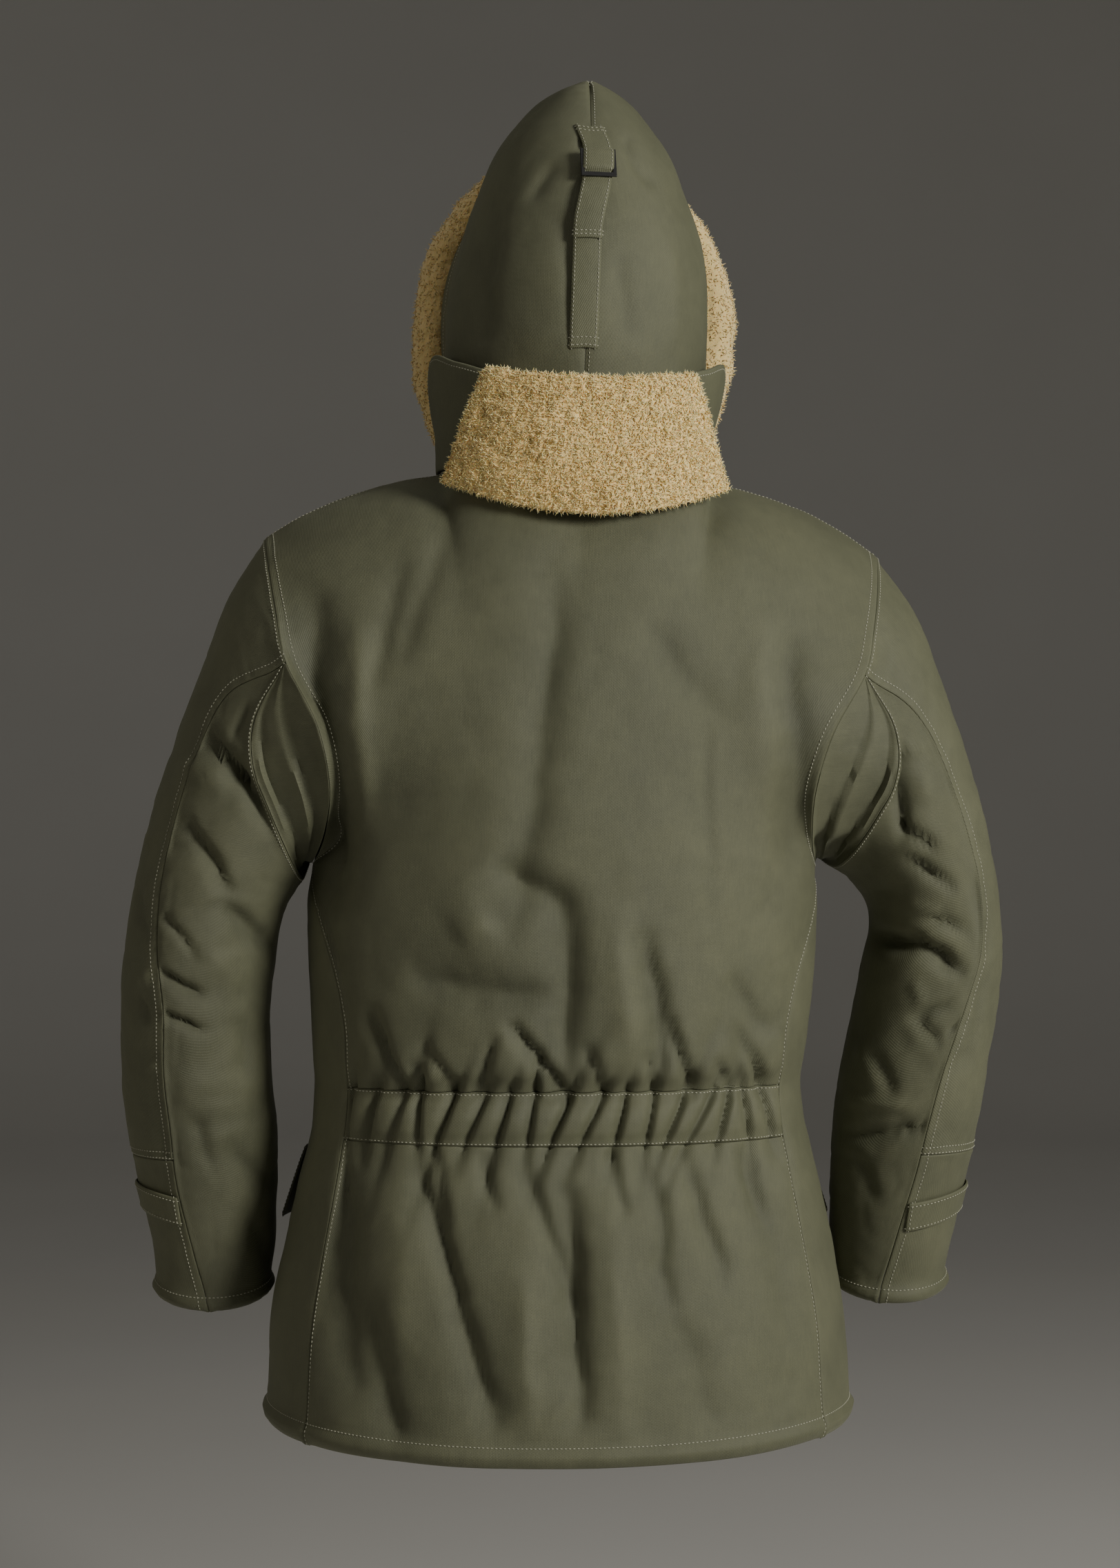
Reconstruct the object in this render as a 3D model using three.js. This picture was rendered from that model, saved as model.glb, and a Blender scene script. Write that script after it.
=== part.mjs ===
// A hooded flight parka, filled out as when worn: every piece of cloth is a thin wall with the garment's
// own curve. Millimetres. +Z is up, +Y the way the wearer faces, +X the wearer's right. The origin is
// the middle of the neck.
import * as THREE from "three";

// Driving dimensions
const SHELL = 3; // twill over pile lining, as one wall
const TRIM = 2; // doubled twill of tabs, flaps, pockets and straps
const SEAM_GAP = 0.3; // clearance between sewn pieces
const HEM_Z = -804;
const HEM_RISE = 9; // the hem hangs lower at the centre back and front than at the sides
const BAND_LOW_Z = -554; // lower stitch line of the gathered waistband
const BAND_TOP_Z = -512; // upper stitch line of the gathered waistband
const UNDERARM_Z = -333;
const CHEST_Z = -150; // height of the pleat point on the centre back
const NECK_Z = -14; // centre back of the neckline
const NECK_HALF = 112;
const NECK_BACK = 92;
const NECK_FRONT = 86;
const NECK_SHARE = 0.42; // share of the top edge that is neckline, and the rest is shoulder seam
const SHOULDER_HALF = 257;
const JUNCTION = 180; // armhole angle where the side seam meets it
const LEAN = 0.0235; // the worn parka leans a little to the wearer's right above the waist
const LEAN_FROM_Z = -520;
const ROUNDNESS = 0.89; // power of the torso's sections: 1 is an ellipse, less is squarer

// Torso sections. seam is the angle of the side seam, from the centre back.
const girth = [
  { z: -804, half: 246, back: 174, front: 171, seam: 57 },
  { z: -794, half: 248.5, back: 177, front: 174, seam: 57 },
  { z: -784, half: 245.5, back: 173.5, front: 171, seam: 57 },
  { z: -710, half: 241, back: 166, front: 168, seam: 57 },
  { z: -650, half: 231, back: 158, front: 164, seam: 57 },
  { z: -594, half: 219, back: 149, front: 159, seam: 57 },
  { z: -554, half: 209, back: 138, front: 154, seam: 58 },
  { z: -533, half: 206, back: 140, front: 152, seam: 58 },
  { z: -512, half: 205, back: 137, front: 153, seam: 58 },
  { z: -494, half: 207, back: 148, front: 158, seam: 58 },
  { z: -460, half: 210, back: 153, front: 163, seam: 58 },
  { z: -418, half: 213, back: 155, front: 166, seam: 62 },
  { z: -370, half: 214, back: 155, front: 168, seam: 74 },
  { z: -333, half: 214, back: 155, front: 168, seam: 87 },
  { z: -270, half: 214, back: 152, front: 166, seam: 88 },
  { z: -200, half: 210, back: 146, front: 160, seam: 88 },
  { z: -150, half: 206, back: 139, front: 150, seam: 88 },
];

// The wearer's right armhole, by angle: 0 shoulder tip, 90 back, 180 underarm, 270 front.
const armhole = [
  { angle: -30, x: 249.5, y: 32, z: -90 },
  { angle: 0, x: 257, y: -12, z: -66 },
  { angle: 30, x: 252.5, y: -58, z: -92 },
  { angle: 60, x: 244, y: -94, z: -133 },
  { angle: 90, x: 234.5, y: -112, z: -172 },
  { angle: 115, x: 208, y: -122, z: -221 },
  { angle: 135, x: 197, y: -108, z: -268 },
  { angle: 155, x: 200, y: -72, z: -306 },
  { angle: 180, x: 211, y: -10, z: -333 },
  { angle: 205, x: 204, y: 50, z: -308 },
  { angle: 225, x: 200, y: 86, z: -268 },
  { angle: 250, x: 205, y: 103, z: -216 },
  { angle: 270, x: 214, y: 98, z: -170 },
  { angle: 300, x: 232, y: 70, z: -125 },
  { angle: 330, x: 249.5, y: 32, z: -90 },
  { angle: 360, x: 257, y: -12, z: -66 },
  { angle: 390, x: 252.5, y: -58, z: -92 },
];

// Shoulder seam, from the neck point to the shoulder tip.
const shoulder = [
  { x: 112, y: -6, z: -7 },
  { x: 141, y: -7, z: -13 },
  { x: 172, y: -8, z: -22 },
  { x: 201, y: -9, z: -33 },
  { x: 230, y: -11, z: -48 },
  { x: 257, y: -12, z: -66 },
];

const neckline = [
  { angle: 0, z: -14 },
  { angle: 45, z: -11 },
  { angle: 90, z: -7 },
  { angle: 135, z: -28 },
  { angle: 180, z: -52 },
];

// How the upper panels round over from the chest row to the top edge, by share of half width.
const rounding = [
  { share: 0, rise: 70, reach: 10, drop: 14 },
  { share: 0.42, rise: 88, reach: 60, drop: 8 },
  { share: 0.75, rise: 76, reach: 58, drop: 6 },
  { share: 1, rise: 52, reach: 40, drop: 6 },
];

// Sleeve rings. Out and In are the ring's outermost and innermost points.
const sleeve = [
  { ring: 0, xOut: 257, zOut: -66, xIn: 211, zIn: -333, y: -10, depth: 98 },
  { ring: 1, xOut: 286, zOut: -108, xIn: 221, zIn: -345, y: -6, depth: 93 },
  { ring: 2, xOut: 308, zOut: -162, xIn: 231, zIn: -357, y: -5, depth: 87 },
  { ring: 3, xOut: 330, zOut: -222, xIn: 237, zIn: -367, y: -4, depth: 83 },
  { ring: 4, xOut: 350, zOut: -285, xIn: 241, zIn: -379, y: -3, depth: 80 },
  { ring: 5, xOut: 364, zOut: -345, xIn: 244, zIn: -393, y: -1, depth: 77 },
  { ring: 6, xOut: 371, zOut: -400, xIn: 245, zIn: -415, y: 1, depth: 75 },
  { ring: 7, xOut: 371, zOut: -450, xIn: 246, zIn: -452, y: 4, depth: 73 },
  { ring: 8, xOut: 368, zOut: -500, xIn: 243, zIn: -500, y: 9, depth: 71 },
  { ring: 9, xOut: 362, zOut: -550, xIn: 237, zIn: -550, y: 17, depth: 67 },
  { ring: 10, xOut: 352, zOut: -600, xIn: 234, zIn: -600, y: 26, depth: 61 },
  { ring: 11, xOut: 340, zOut: -650, xIn: 235, zIn: -650, y: 34, depth: 53 },
  { ring: 12, xOut: 335.5, zOut: -680, xIn: 238, zIn: -680, y: 38, depth: 46.5 },
  { ring: 12.5, xOut: 338, zOut: -689, xIn: 236, zIn: -689, y: 39, depth: 49 },
  { ring: 13, xOut: 335, zOut: -697, xIn: 239, zIn: -697, y: 40, depth: 46 },
];

// The same rings: angle of the back seam from the outermost point, how far the right elbow tucks its
// inner side up and out, and how far each sleeve sways out from the body.
const sleeveSides = [
  { ring: 0, seamLeft: 90, seamRight: 90, tuckX: 0, tuckZ: 0, swayLeft: 0, swayRight: 0 },
  { ring: 1, seamLeft: 71, seamRight: 76, tuckX: 3, tuckZ: 12, swayLeft: -3, swayRight: 3 },
  { ring: 2, seamLeft: 55, seamRight: 66, tuckX: 3, tuckZ: 19, swayLeft: -5, swayRight: 5 },
  { ring: 3, seamLeft: 51, seamRight: 62, tuckX: 7, tuckZ: 19, swayLeft: -5, swayRight: 5 },
  { ring: 4, seamLeft: 52, seamRight: 61, tuckX: 13, tuckZ: 17, swayLeft: -5, swayRight: 5 },
  { ring: 5, seamLeft: 55, seamRight: 59, tuckX: 14, tuckZ: 11, swayLeft: -5, swayRight: 5 },
  { ring: 6, seamLeft: 61, seamRight: 61, tuckX: 9, tuckZ: 3, swayLeft: -4, swayRight: 4 },
  { ring: 7, seamLeft: 69, seamRight: 71, tuckX: 4, tuckZ: 0, swayLeft: -2, swayRight: 2 },
  { ring: 8, seamLeft: 69, seamRight: 79, tuckX: 0, tuckZ: 0, swayLeft: 0, swayRight: 0 },
  { ring: 9, seamLeft: 69, seamRight: 84, tuckX: 0, tuckZ: 0, swayLeft: 1, swayRight: 0 },
  { ring: 10, seamLeft: 68, seamRight: 88, tuckX: 0, tuckZ: 0, swayLeft: 3, swayRight: 1 },
  { ring: 11, seamLeft: 74, seamRight: 97, tuckX: 0, tuckZ: 0, swayLeft: 4, swayRight: 1.5 },
  { ring: 12, seamLeft: 84, seamRight: 107, tuckX: 0, tuckZ: 0, swayLeft: 5, swayRight: 1.5 },
  { ring: 12.5, seamLeft: 87, seamRight: 109, tuckX: 0, tuckZ: 0, swayLeft: 5, swayRight: 1.5 },
  { ring: 13, seamLeft: 89, seamRight: 111, tuckX: 0, tuckZ: 0, swayLeft: 5, swayRight: 1.5 },
];
const FRONT_SEAM = -105; // angle of the sleeve's front seam
const LAP_RING = 9.52; // where the sleeve end is lapped on
const CUFF_TILT = 0.24; // the cuff's back hangs lower than its front

// Upper edge of the under sleeve, in rings below the armhole: the pleated gusset fills what is above it.
const gussetEdge = [
  { angle: 90, ring: 0.01 },
  { angle: 105, ring: 1.3 },
  { angle: 120, ring: 1.75 },
  { angle: 135, ring: 1.7 },
  { angle: 150, ring: 1.6 },
  { angle: 165, ring: 1.45 },
  { angle: 180, ring: 1.2 },
  { angle: 195, ring: 0.7 },
  { angle: 210, ring: 0.01 },
  { angle: 225, ring: 0 },
  { angle: 255, ring: 0 },
];

// Hood rows, from the neck seam to the crown seam. Each runs from the centre back seam round to the face
// opening.
const hood = [
  { row: 0, yBack: -92, zBack: -14, xFront: 0, yFront: 86, zFront: -52, half: 112, yWide: 0 },
  { row: 0.06, yBack: -92, zBack: 2, xFront: 0, yFront: 88, zFront: -32, half: 109.5, yWide: 1 },
  { row: 0.12, yBack: -93, zBack: 18, xFront: 0, yFront: 97, zFront: -10, half: 108, yWide: 2 },
  { row: 0.2, yBack: -95, zBack: 40, xFront: 52, yFront: 103, zFront: 6, half: 107, yWide: 5 },
  { row: 0.3, yBack: -101, zBack: 72, xFront: 86, yFront: 112, zFront: 40, half: 108, yWide: 8 },
  { row: 0.42, yBack: -107, zBack: 115, xFront: 108, yFront: 126, zFront: 88, half: 110.5, yWide: 10 },
  { row: 0.52, yBack: -108, zBack: 150, xFront: 115, yFront: 136, zFront: 135, half: 110, yWide: 12 },
  { row: 0.62, yBack: -104, zBack: 186, xFront: 112, yFront: 143, zFront: 180, half: 104, yWide: 15 },
  { row: 0.72, yBack: -94, zBack: 222, xFront: 99, yFront: 148, zFront: 220, half: 93, yWide: 18 },
  { row: 0.82, yBack: -78, zBack: 258, xFront: 76, yFront: 151, zFront: 252, half: 78, yWide: 26 },
  { row: 0.9, yBack: -60, zBack: 284, xFront: 50, yFront: 151, zFront: 274, half: 57, yWide: 36 },
  { row: 0.96, yBack: -42, zBack: 306, xFront: 26, yFront: 151, zFront: 286, half: 35, yWide: 48 },
  { row: 1, yBack: -26, zBack: 320.5, xFront: 0, yFront: 150, zFront: 292, half: 0, yWide: 58 },
];

// Collar stand: its top edge, by angle from the centre back.
const collarTop = [
  { angle: 0, z: 62 },
  { angle: 30, z: 65 },
  { angle: 58, z: 80 },
  { angle: 80, z: 88 },
  { angle: 100, z: 52 },
  { angle: 120, z: -2 },
  { angle: 150, z: -27 },
  { angle: 180, z: -38 },
];
const CROWN_RISE = 20; // arch of the crown seam, front to back
const COLLAR_HALF = 120;
const COLLAR_BACK = 110;
const COLLAR_FRONT = 94;
const COLLAR_END = 178; // the stand's ends meet at the centre front

// Fur-faced fall of the collar: outer face, from its folded top to its free lower edge.
const fall = [
  { down: 0, half: 87, y: -122.6, yEnd: -95.1, z: 65, zEnd: 74 },
  { down: 0.12, half: 92, y: -125.3, yEnd: -95.3, z: 56, zEnd: 66 },
  { down: 0.5, half: 105, y: -131, yEnd: -92, z: 10, zEnd: 28 },
  { down: 0.85, half: 117, y: -133, yEnd: -88, z: -36, zEnd: -9 },
  { down: 1, half: 121, y: -132, yEnd: -86, z: -49, zEnd: -21 },
];
const FALL_SHIFT = 5; // the fall sits a little to the right of the centre
const FALL_THICK = 12;
const FUR_OUT = 33; // reach of the face trim beyond the hood's edge
const FUR_IN = 11;
const FUR_FORWARD = 44;
const FUR_SHIFT = 6; // the trim sits a little to the right half way up
const FUR_START = 0.125; // hood row where the face opening begins
const CLEAR = 0.8; // a trim piece's clearance over the panel that carries it
const HOOD_LEAN = 0.038;
const FLY_HALF = 28;
const TAB_WIDTH = 0.44; // in sleeve rings, which are 50 mm apart there
const STRAP_HALF = 9.75;
const BUTTON_RADIUS = 10;
const BUTTON_THICK = 3;
const BUTTON_LIFT = 3.2; // underside of a button over the panel that carries its tab or fly

// Gathers of the back waistband: x at its middle height, lean to the right going up, and depth.
const gathers = [
  { x: -176, lean: 3, deep: 4.5 },
  { x: -157, lean: 5, deep: 5.5 },
  { x: -136, lean: 7, deep: 4.0 },
  { x: -119, lean: 1, deep: 5.0 },
  { x: -98, lean: 8, deep: 5.5 },
  { x: -74, lean: 9, deep: 4.5 },
  { x: -52, lean: 6, deep: 5.0 },
  { x: -30, lean: 3, deep: 4.5 },
  { x: -6, lean: 9, deep: 5.5 },
  { x: 19, lean: 10, deep: 4.5 },
  { x: 42, lean: 5, deep: 5.0 },
  { x: 66, lean: 4, deep: 4.5 },
  { x: 87, lean: 9, deep: 5.0 },
  { x: 108, lean: 12, deep: 4.5 },
  { x: 128, lean: 6, deep: 5.0 },
  { x: 147, lean: -3, deep: 4.5 },
  { x: 166, lean: -5, deep: 5.0 },
];

// Large folds seen from behind, as lines in the X-Z plane. deep is below the cloth where negative.
const backFolds = [
  { x1: -172, z1: -150, x2: -166, z2: -345, wide: 15, deep: -8 },
  { x1: -146, z1: -170, x2: -142, z2: -330, wide: 18, deep: 5 },
  { x1: 186, z1: -135, x2: 168, z2: -330, wide: 14, deep: -5 },
  { x1: -78, z1: -60, x2: -128, z2: -190, wide: 24, deep: -4 },
  { x1: 58, z1: -120, x2: 112, z2: -260, wide: 26, deep: -4 },
  { x1: -2, z1: -110, x2: -6, z2: -330, wide: 34, deep: -4 },
  { x1: -50, z1: -300, x2: 22, z2: -360, wide: 20, deep: -6 },
  { x1: 20, z1: -350, x2: 30, z2: -470, wide: 20, deep: -6 },
  { x1: -90, z1: -405, x2: 5, z2: -385, wide: 22, deep: 5 },
  { x1: -150, z1: -440, x2: -105, z2: -505, wide: 14, deep: -6 },
  { x1: 70, z1: -380, x2: 110, z2: -480, wide: 20, deep: 5 },
  { x1: -105, z1: -560, x2: -62, z2: -690, wide: 20, deep: -7 },
  { x1: 18, z1: -560, x2: 10, z2: -760, wide: 17, deep: -8 },
  { x1: -62, z1: -690, x2: -82, z2: -780, wide: 16, deep: -5 },
  { x1: 105, z1: -560, x2: 150, z2: -650, wide: 18, deep: -5 },
  { x1: -150, z1: -570, x2: -160, z2: -780, wide: 22, deep: -5 },
  { x1: -180, z1: -540, x2: -196, z2: -680, wide: 14, deep: -5 },
];

// Large folds of one sleeve seen from behind, for the wearer's right, as lines in the X-Z plane.
const sleeveFolds = [
  { x1: 262, z1: -222, x2: 284, z2: -290, wide: 12, deep: -6 },
  { x1: 282, z1: -335, x2: 330, z2: -318, wide: 11, deep: -5 },
  { x1: 268, z1: -352, x2: 322, z2: -378, wide: 12, deep: -6 },
  { x1: 262, z1: -395, x2: 318, z2: -416, wide: 11, deep: -6 },
  { x1: 285, z1: -440, x2: 316, z2: -428, wide: 10, deep: -4 },
  { x1: 278, z1: -470, x2: 305, z2: -505, wide: 11, deep: -4 },
  { x1: 260, z1: -545, x2: 306, z2: -548, wide: 12, deep: -5 },
  { x1: 322, z1: -590, x2: 350, z2: -480, wide: 14, deep: -4 },
];

// Large folds of the fronts and of the sleeves' front side, for the wearer's right.
const frontFolds = [
  { x1: 150, z1: -190, x2: 120, z2: -330, wide: 24, deep: -5 },
  { x1: 60, z1: -160, x2: 84, z2: -300, wide: 28, deep: -4 },
  { x1: 150, z1: -420, x2: 90, z2: -505, wide: 18, deep: -5 },
  { x1: 195, z1: -400, x2: 180, z2: -520, wide: 16, deep: -5 },
  { x1: 120, z1: -515, x2: 128, z2: -575, wide: 14, deep: -4 },
  { x1: 265, z1: -250, x2: 300, z2: -315, wide: 14, deep: -5 },
  { x1: 262, z1: -390, x2: 330, z2: -402, wide: 13, deep: -6 },
  { x1: 265, z1: -440, x2: 325, z2: -455, wide: 13, deep: -5 },
  { x1: 270, z1: -500, x2: 320, z2: -520, wide: 13, deep: -4 },
];

// Rows shared by neighbouring panels
const shareSteps = [0, 0.07, 0.14, 0.21, 0.28, 0.35, 0.42, 0.52, 0.62, 0.72, 0.82, 0.91, 1];
const sideStations = [-804, -794, -784, -740, -695, -650, -602, -554, -533, -512, -480, -440, -400, -366, -333];
const rings = [0, 0.7, 1.4, 2.2, 3, 4, 4.5, 5, 5.5, 6, 6.5, 7, 7.5, 8, 8.75, 9.52, 10.4, 11.3, 12, 12.5, 13];

const mix = THREE.MathUtils.lerp;
const ramp = THREE.MathUtils.smoothstep;
const radians = THREE.MathUtils.degToRad;
const point = (x, y, z) => new THREE.Vector3(x, y, z);
const signedPower = (value, exponent) => Math.sign(value) * Math.abs(value) ** exponent;
const between = (from, to, count) => Array.from({ length: count + 1 }, (_, i) => mix(from, to, i / count));

// Reads every column of a table at one value of its key column, on a smooth curve through the rows.
function read(table, key, at) {
  const found = table.findIndex((row) => row[key] >= at);
  const i = found < 0 ? table.length - 1 : Math.max(found, 1);
  const [a, b] = [table[i - 1], table[i]];
  const [before, after] = [table[i - 2] ?? a, table[i + 1] ?? b];
  const span = b[key] - a[key];
  const t = THREE.MathUtils.clamp((at - a[key]) / span, 0, 1);
  const columns = Object.keys(a).map((name) => {
    const slopeA = ((b[name] - before[name]) / (b[key] - before[key])) * span;
    const slopeB = ((after[name] - a[name]) / (after[key] - a[key])) * span;
    const start = a[name] * (1 + 2 * t) * (1 - t) ** 2 + slopeA * t * (1 - t) ** 2;
    return [name, start + b[name] * t * t * (3 - 2 * t) - slopeB * t * t * (1 - t)];
  });
  return Object.fromEntries(columns);
}

// Straight stretches between stations, so that neighbours with other rows still share one seam.
function chord(curve, stations, at) {
  const i = THREE.MathUtils.clamp(stations.findIndex((station) => station >= at), 1, stations.length - 1);
  const t = (at - stations[i - 1]) / (stations[i] - stations[i - 1]);
  return curve(stations[i - 1]).lerp(curve(stations[i]), t);
}

// The torso's section at one height. angle is 0 at the centre back, 90 at the wearer's right, 180 at the
// front.
function girthPoint(angle, z) {
  const { half, back, front } = read(girth, "z", z);
  const along = signedPower(Math.cos(radians(angle)), ROUNDNESS);
  const side = Math.sin(radians(angle));
  const rise = HEM_RISE * side * side * (1 - ramp(z, HEM_Z, -650));
  return point(half * signedPower(side, ROUNDNESS), -along * (along > 0 ? back : front), z + rise);
}

// The angle at which a section comes nearest to a point.
function girthAngle(p, z) {
  const { half, back, front } = read(girth, "z", z);
  const along = signedPower(-p.y / (p.y < 0 ? back : front), 1 / ROUNDNESS);
  return THREE.MathUtils.radToDeg(Math.atan2(signedPower(p.x / half, 1 / ROUNDNESS), along));
}

// Level outward direction of the torso's section
function girthNormal(angle, z) {
  const along = girthPoint(angle + 1, z).sub(girthPoint(angle - 1, z));
  return point(along.y, -along.x, 0).normalize();
}

function exactArmhole(angle) {
  const { x, y, z } = read(armhole, "angle", angle < 0 ? angle + 360 : angle);
  return point(x, y, z);
}

const armholeStations = between(-120, 390, 34);
const armholePoint = (angle) => chord(exactArmhole, armholeStations, angle);

// Direction shared by the body's and the sleeve's walls along the armhole seam
function armholeNormal(angle) {
  const outward = (at) => {
    const radial = exactArmhole(at).sub(point(0, -5, -200)).setX(0).normalize();
    return radial.setX(0.35).normalize();
  };
  return chord(outward, armholeStations, angle);
}

// Side seam below the armhole, ending at the armhole itself
function sidePoint(z) {
  const at = (station) =>
    station < UNDERARM_Z ? girthPoint(read(girth, "z", station).seam, station) : exactArmhole(JUNCTION);
  return chord(at, sideStations, z);
}

const sideNormal = (z) => chord((at) => girthNormal(read(girth, "z", at).seam, at), sideStations, z);

function neckPoint(angle) {
  const depth = Math.cos(radians(angle));
  const y = -depth * (depth > 0 ? NECK_BACK : NECK_FRONT);
  return point(NECK_HALF * Math.sin(radians(angle)), y, read(neckline, "angle", angle).z);
}

const neckNormal = (angle) => neckPoint(angle).setZ(0).normalize().setZ(1).normalize();

// The panels' top edge: half the neckline, then the shoulder seam.
function topEdge(isBack, share) {
  if (share <= NECK_SHARE) {
    const quarter = (90 * share) / NECK_SHARE;
    return neckPoint(isBack ? quarter : 180 - quarter);
  }
  const past = (share - NECK_SHARE) / (1 - NECK_SHARE);
  const { y, z } = read(shoulder, "x", mix(NECK_HALF, SHOULDER_HALF, past));
  return point(mix(NECK_HALF, SHOULDER_HALF, past), y * ramp(past, 0, 0.2), z);
}

const armholeAngle = (isBack, height) =>
  height <= CHEST_Z
    ? mix(JUNCTION, isBack ? 90 : 270, (height - UNDERARM_Z) / (CHEST_Z - UNDERARM_Z))
    : mix(isBack ? 90 : 270, isBack ? 0 : 360, (height - CHEST_Z) / (NECK_Z - CHEST_Z));

// A point of the body. share runs from 0 at the centre to 1 at the side seam or the armhole, and height
// is that of the row on the centre back.
function bodyPoint(isBack, share, height) {
  const sweep = (at, span) => girthPoint(isBack ? span * at : 180 - (180 - span) * at, height);
  if (height <= UNDERARM_Z) {
    const { seam } = read(girth, "z", height);
    return sweep(share, seam).add(sidePoint(height).sub(sweep(1, seam)).multiplyScalar(share ** 3));
  }
  const edge = armholePoint(armholeAngle(isBack, height));
  if (height <= CHEST_Z) {
    const span = girthAngle(edge, height);
    return sweep(share, span).add(edge.sub(sweep(1, span)).multiplyScalar(share ** 3));
  }
  const up = (height - CHEST_Z) / (NECK_Z - CHEST_Z);
  const over = (at) => {
    const low = bodyPoint(isBack, at, CHEST_Z);
    const top = topEdge(isBack, at);
    const { rise, reach, drop } = read(rounding, "share", at);
    const size = isBack ? 1 : 0.8;
    const first = point(low.x + (top.x - low.x) * 0.3, low.y + (isBack ? 12 : -12), low.z + rise * size);
    const second = point(top.x, top.y - (isBack ? reach : -reach) * size, top.z - drop);
    return new THREE.CubicBezierCurve3(low, first, second, top).getPoint(up);
  };
  return over(share).add(edge.sub(over(1)).multiplyScalar(share ** 4));
}

// A point of a sleeve, drawn as the right one: angle as for the armhole, ring 0 at the armhole to 13 at
// the cuff.
function sleevePoint(side, angle, ring) {
  const isRight = side === "seamRight";
  const regular = (at) => {
    const row = { ...read(sleeve, "ring", at), ...read(sleeveSides, "ring", at) };
    const [xIn, zIn] = isRight ? [row.xIn + row.tuckX, row.zIn + row.tuckZ] : [row.xIn, row.zIn];
    const out = Math.cos(radians(angle)) / 2;
    const rear = Math.sin(radians(angle)) * row.depth;
    const x = (row.xOut + xIn) / 2 + out * (row.xOut - xIn) + (isRight ? row.swayRight : row.swayLeft);
    const z = (row.zOut + zIn) / 2 + out * (row.zOut - zIn) - rear * CUFF_TILT * ramp(at, 10, 12.5);
    return point(x, row.y - rear, z);
  };
  const fade = (1 - Math.min(ring, 2) / 2) ** 2;
  return regular(ring).add(exactArmhole(angle).sub(regular(0)).multiplyScalar(fade));
}

// Sleeve pieces run from the back seam: the outer one over the top, the under one below. q is 0 to 1
// between seams.
const backSeam = (side, ring) => read(sleeveSides, "ring", ring)[side];
const outerAngle = (side, q, ring) => mix(FRONT_SEAM, backSeam(side, ring), q);
const underAngle = (side, q, ring) => mix(backSeam(side, ring), FRONT_SEAM + 360, q);
const gussetDepth = (q) => Math.max(0, read(gussetEdge, "angle", mix(90, FRONT_SEAM + 360, q)).ring);

// A point of the hood's right half. around is 0 at the centre back and 1 at the face opening.
function hoodPoint(around, row) {
  const at = read(hood, "row", row);
  const turn = radians(180 * around);
  const x = around < 0.5 ? at.half * Math.sin(turn) : mix(at.xFront, at.half, Math.sin(turn));
  const y = at.yWide - Math.cos(turn) * (around < 0.5 ? at.yWide - at.yBack : at.yFront - at.yWide);
  const straight = mix(hood[0].zBack, hood[0].zFront, around);
  const settle = (read(neckline, "angle", 180 * around).z - straight) * (1 - ramp(row, 0, 0.2));
  const crown = CROWN_RISE * Math.sin(turn) * ramp(row, 0.7, 1);
  return point(x, y, mix(at.zBack, at.zFront, around) + settle + crown);
}

// Depth of the folds at a point: each is a line in the X-Z plane with soft sides and faded ends.
function foldDepth(folds, p) {
  return folds.reduce((sum, fold) => {
    const along = point(fold.x2 - fold.x1, 0, fold.z2 - fold.z1);
    const from = point(p.x - fold.x1, 0, p.z - fold.z1);
    const t = from.dot(along) / along.lengthSq();
    const off = from.addScaledVector(along, -THREE.MathUtils.clamp(t, 0, 1)).length();
    const ends = ramp(t, -0.25, 0.2) * (1 - ramp(t, 0.8, 1.25));
    return sum + fold.deep * ends * Math.exp(-((off / fold.wide) ** 2));
  }, 0);
}

// The worn garment leans to the wearer's right above the waist, its left shoulder a little higher.
function lean(p) {
  const x = p.x + LEAN * Math.max(Math.min(p.z, 0), LEAN_FROM_Z) + HOOD_LEAN * Math.max(p.z, 0);
  return point(x, p.y, p.z - LEAN * p.x * ramp(p.z, LEAN_FROM_Z, -60));
}

// One closed body from points and triangles, turned so that its faces point out.
function solid(points, triangles) {
  const part = ([a, b, c]) => points[a].dot(points[b].clone().cross(points[c]));
  const volume = triangles.reduce((sum, triangle) => sum + part(triangle), 0);
  const outward = volume > 0 ? triangles : triangles.map(([a, b, c]) => [a, c, b]);
  const geometry = new THREE.BufferGeometry().setFromPoints(points);
  geometry.setIndex(outward.flat());
  geometry.computeVertexNormals();
  return geometry;
}

// Outward direction of a surface at u, v
function facing(place, u, v, columns, rows, turn) {
  const [uLow, uHigh, vLow, vHigh] = [columns[0], columns.at(-1), rows[0], rows.at(-1)];
  const [uStep, vStep] = [(uHigh - uLow) / 500, (vHigh - vLow) / 500];
  const along = place(Math.min(u + uStep, uHigh), v).sub(place(Math.max(u - uStep, uLow), v));
  const up = place(u, Math.min(v + vStep, vHigh)).sub(place(u, Math.max(v - vStep, vLow)));
  return along.cross(up).normalize().multiplyScalar(turn);
}

const noSeam = () => null;
const level = () => 0;

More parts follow.
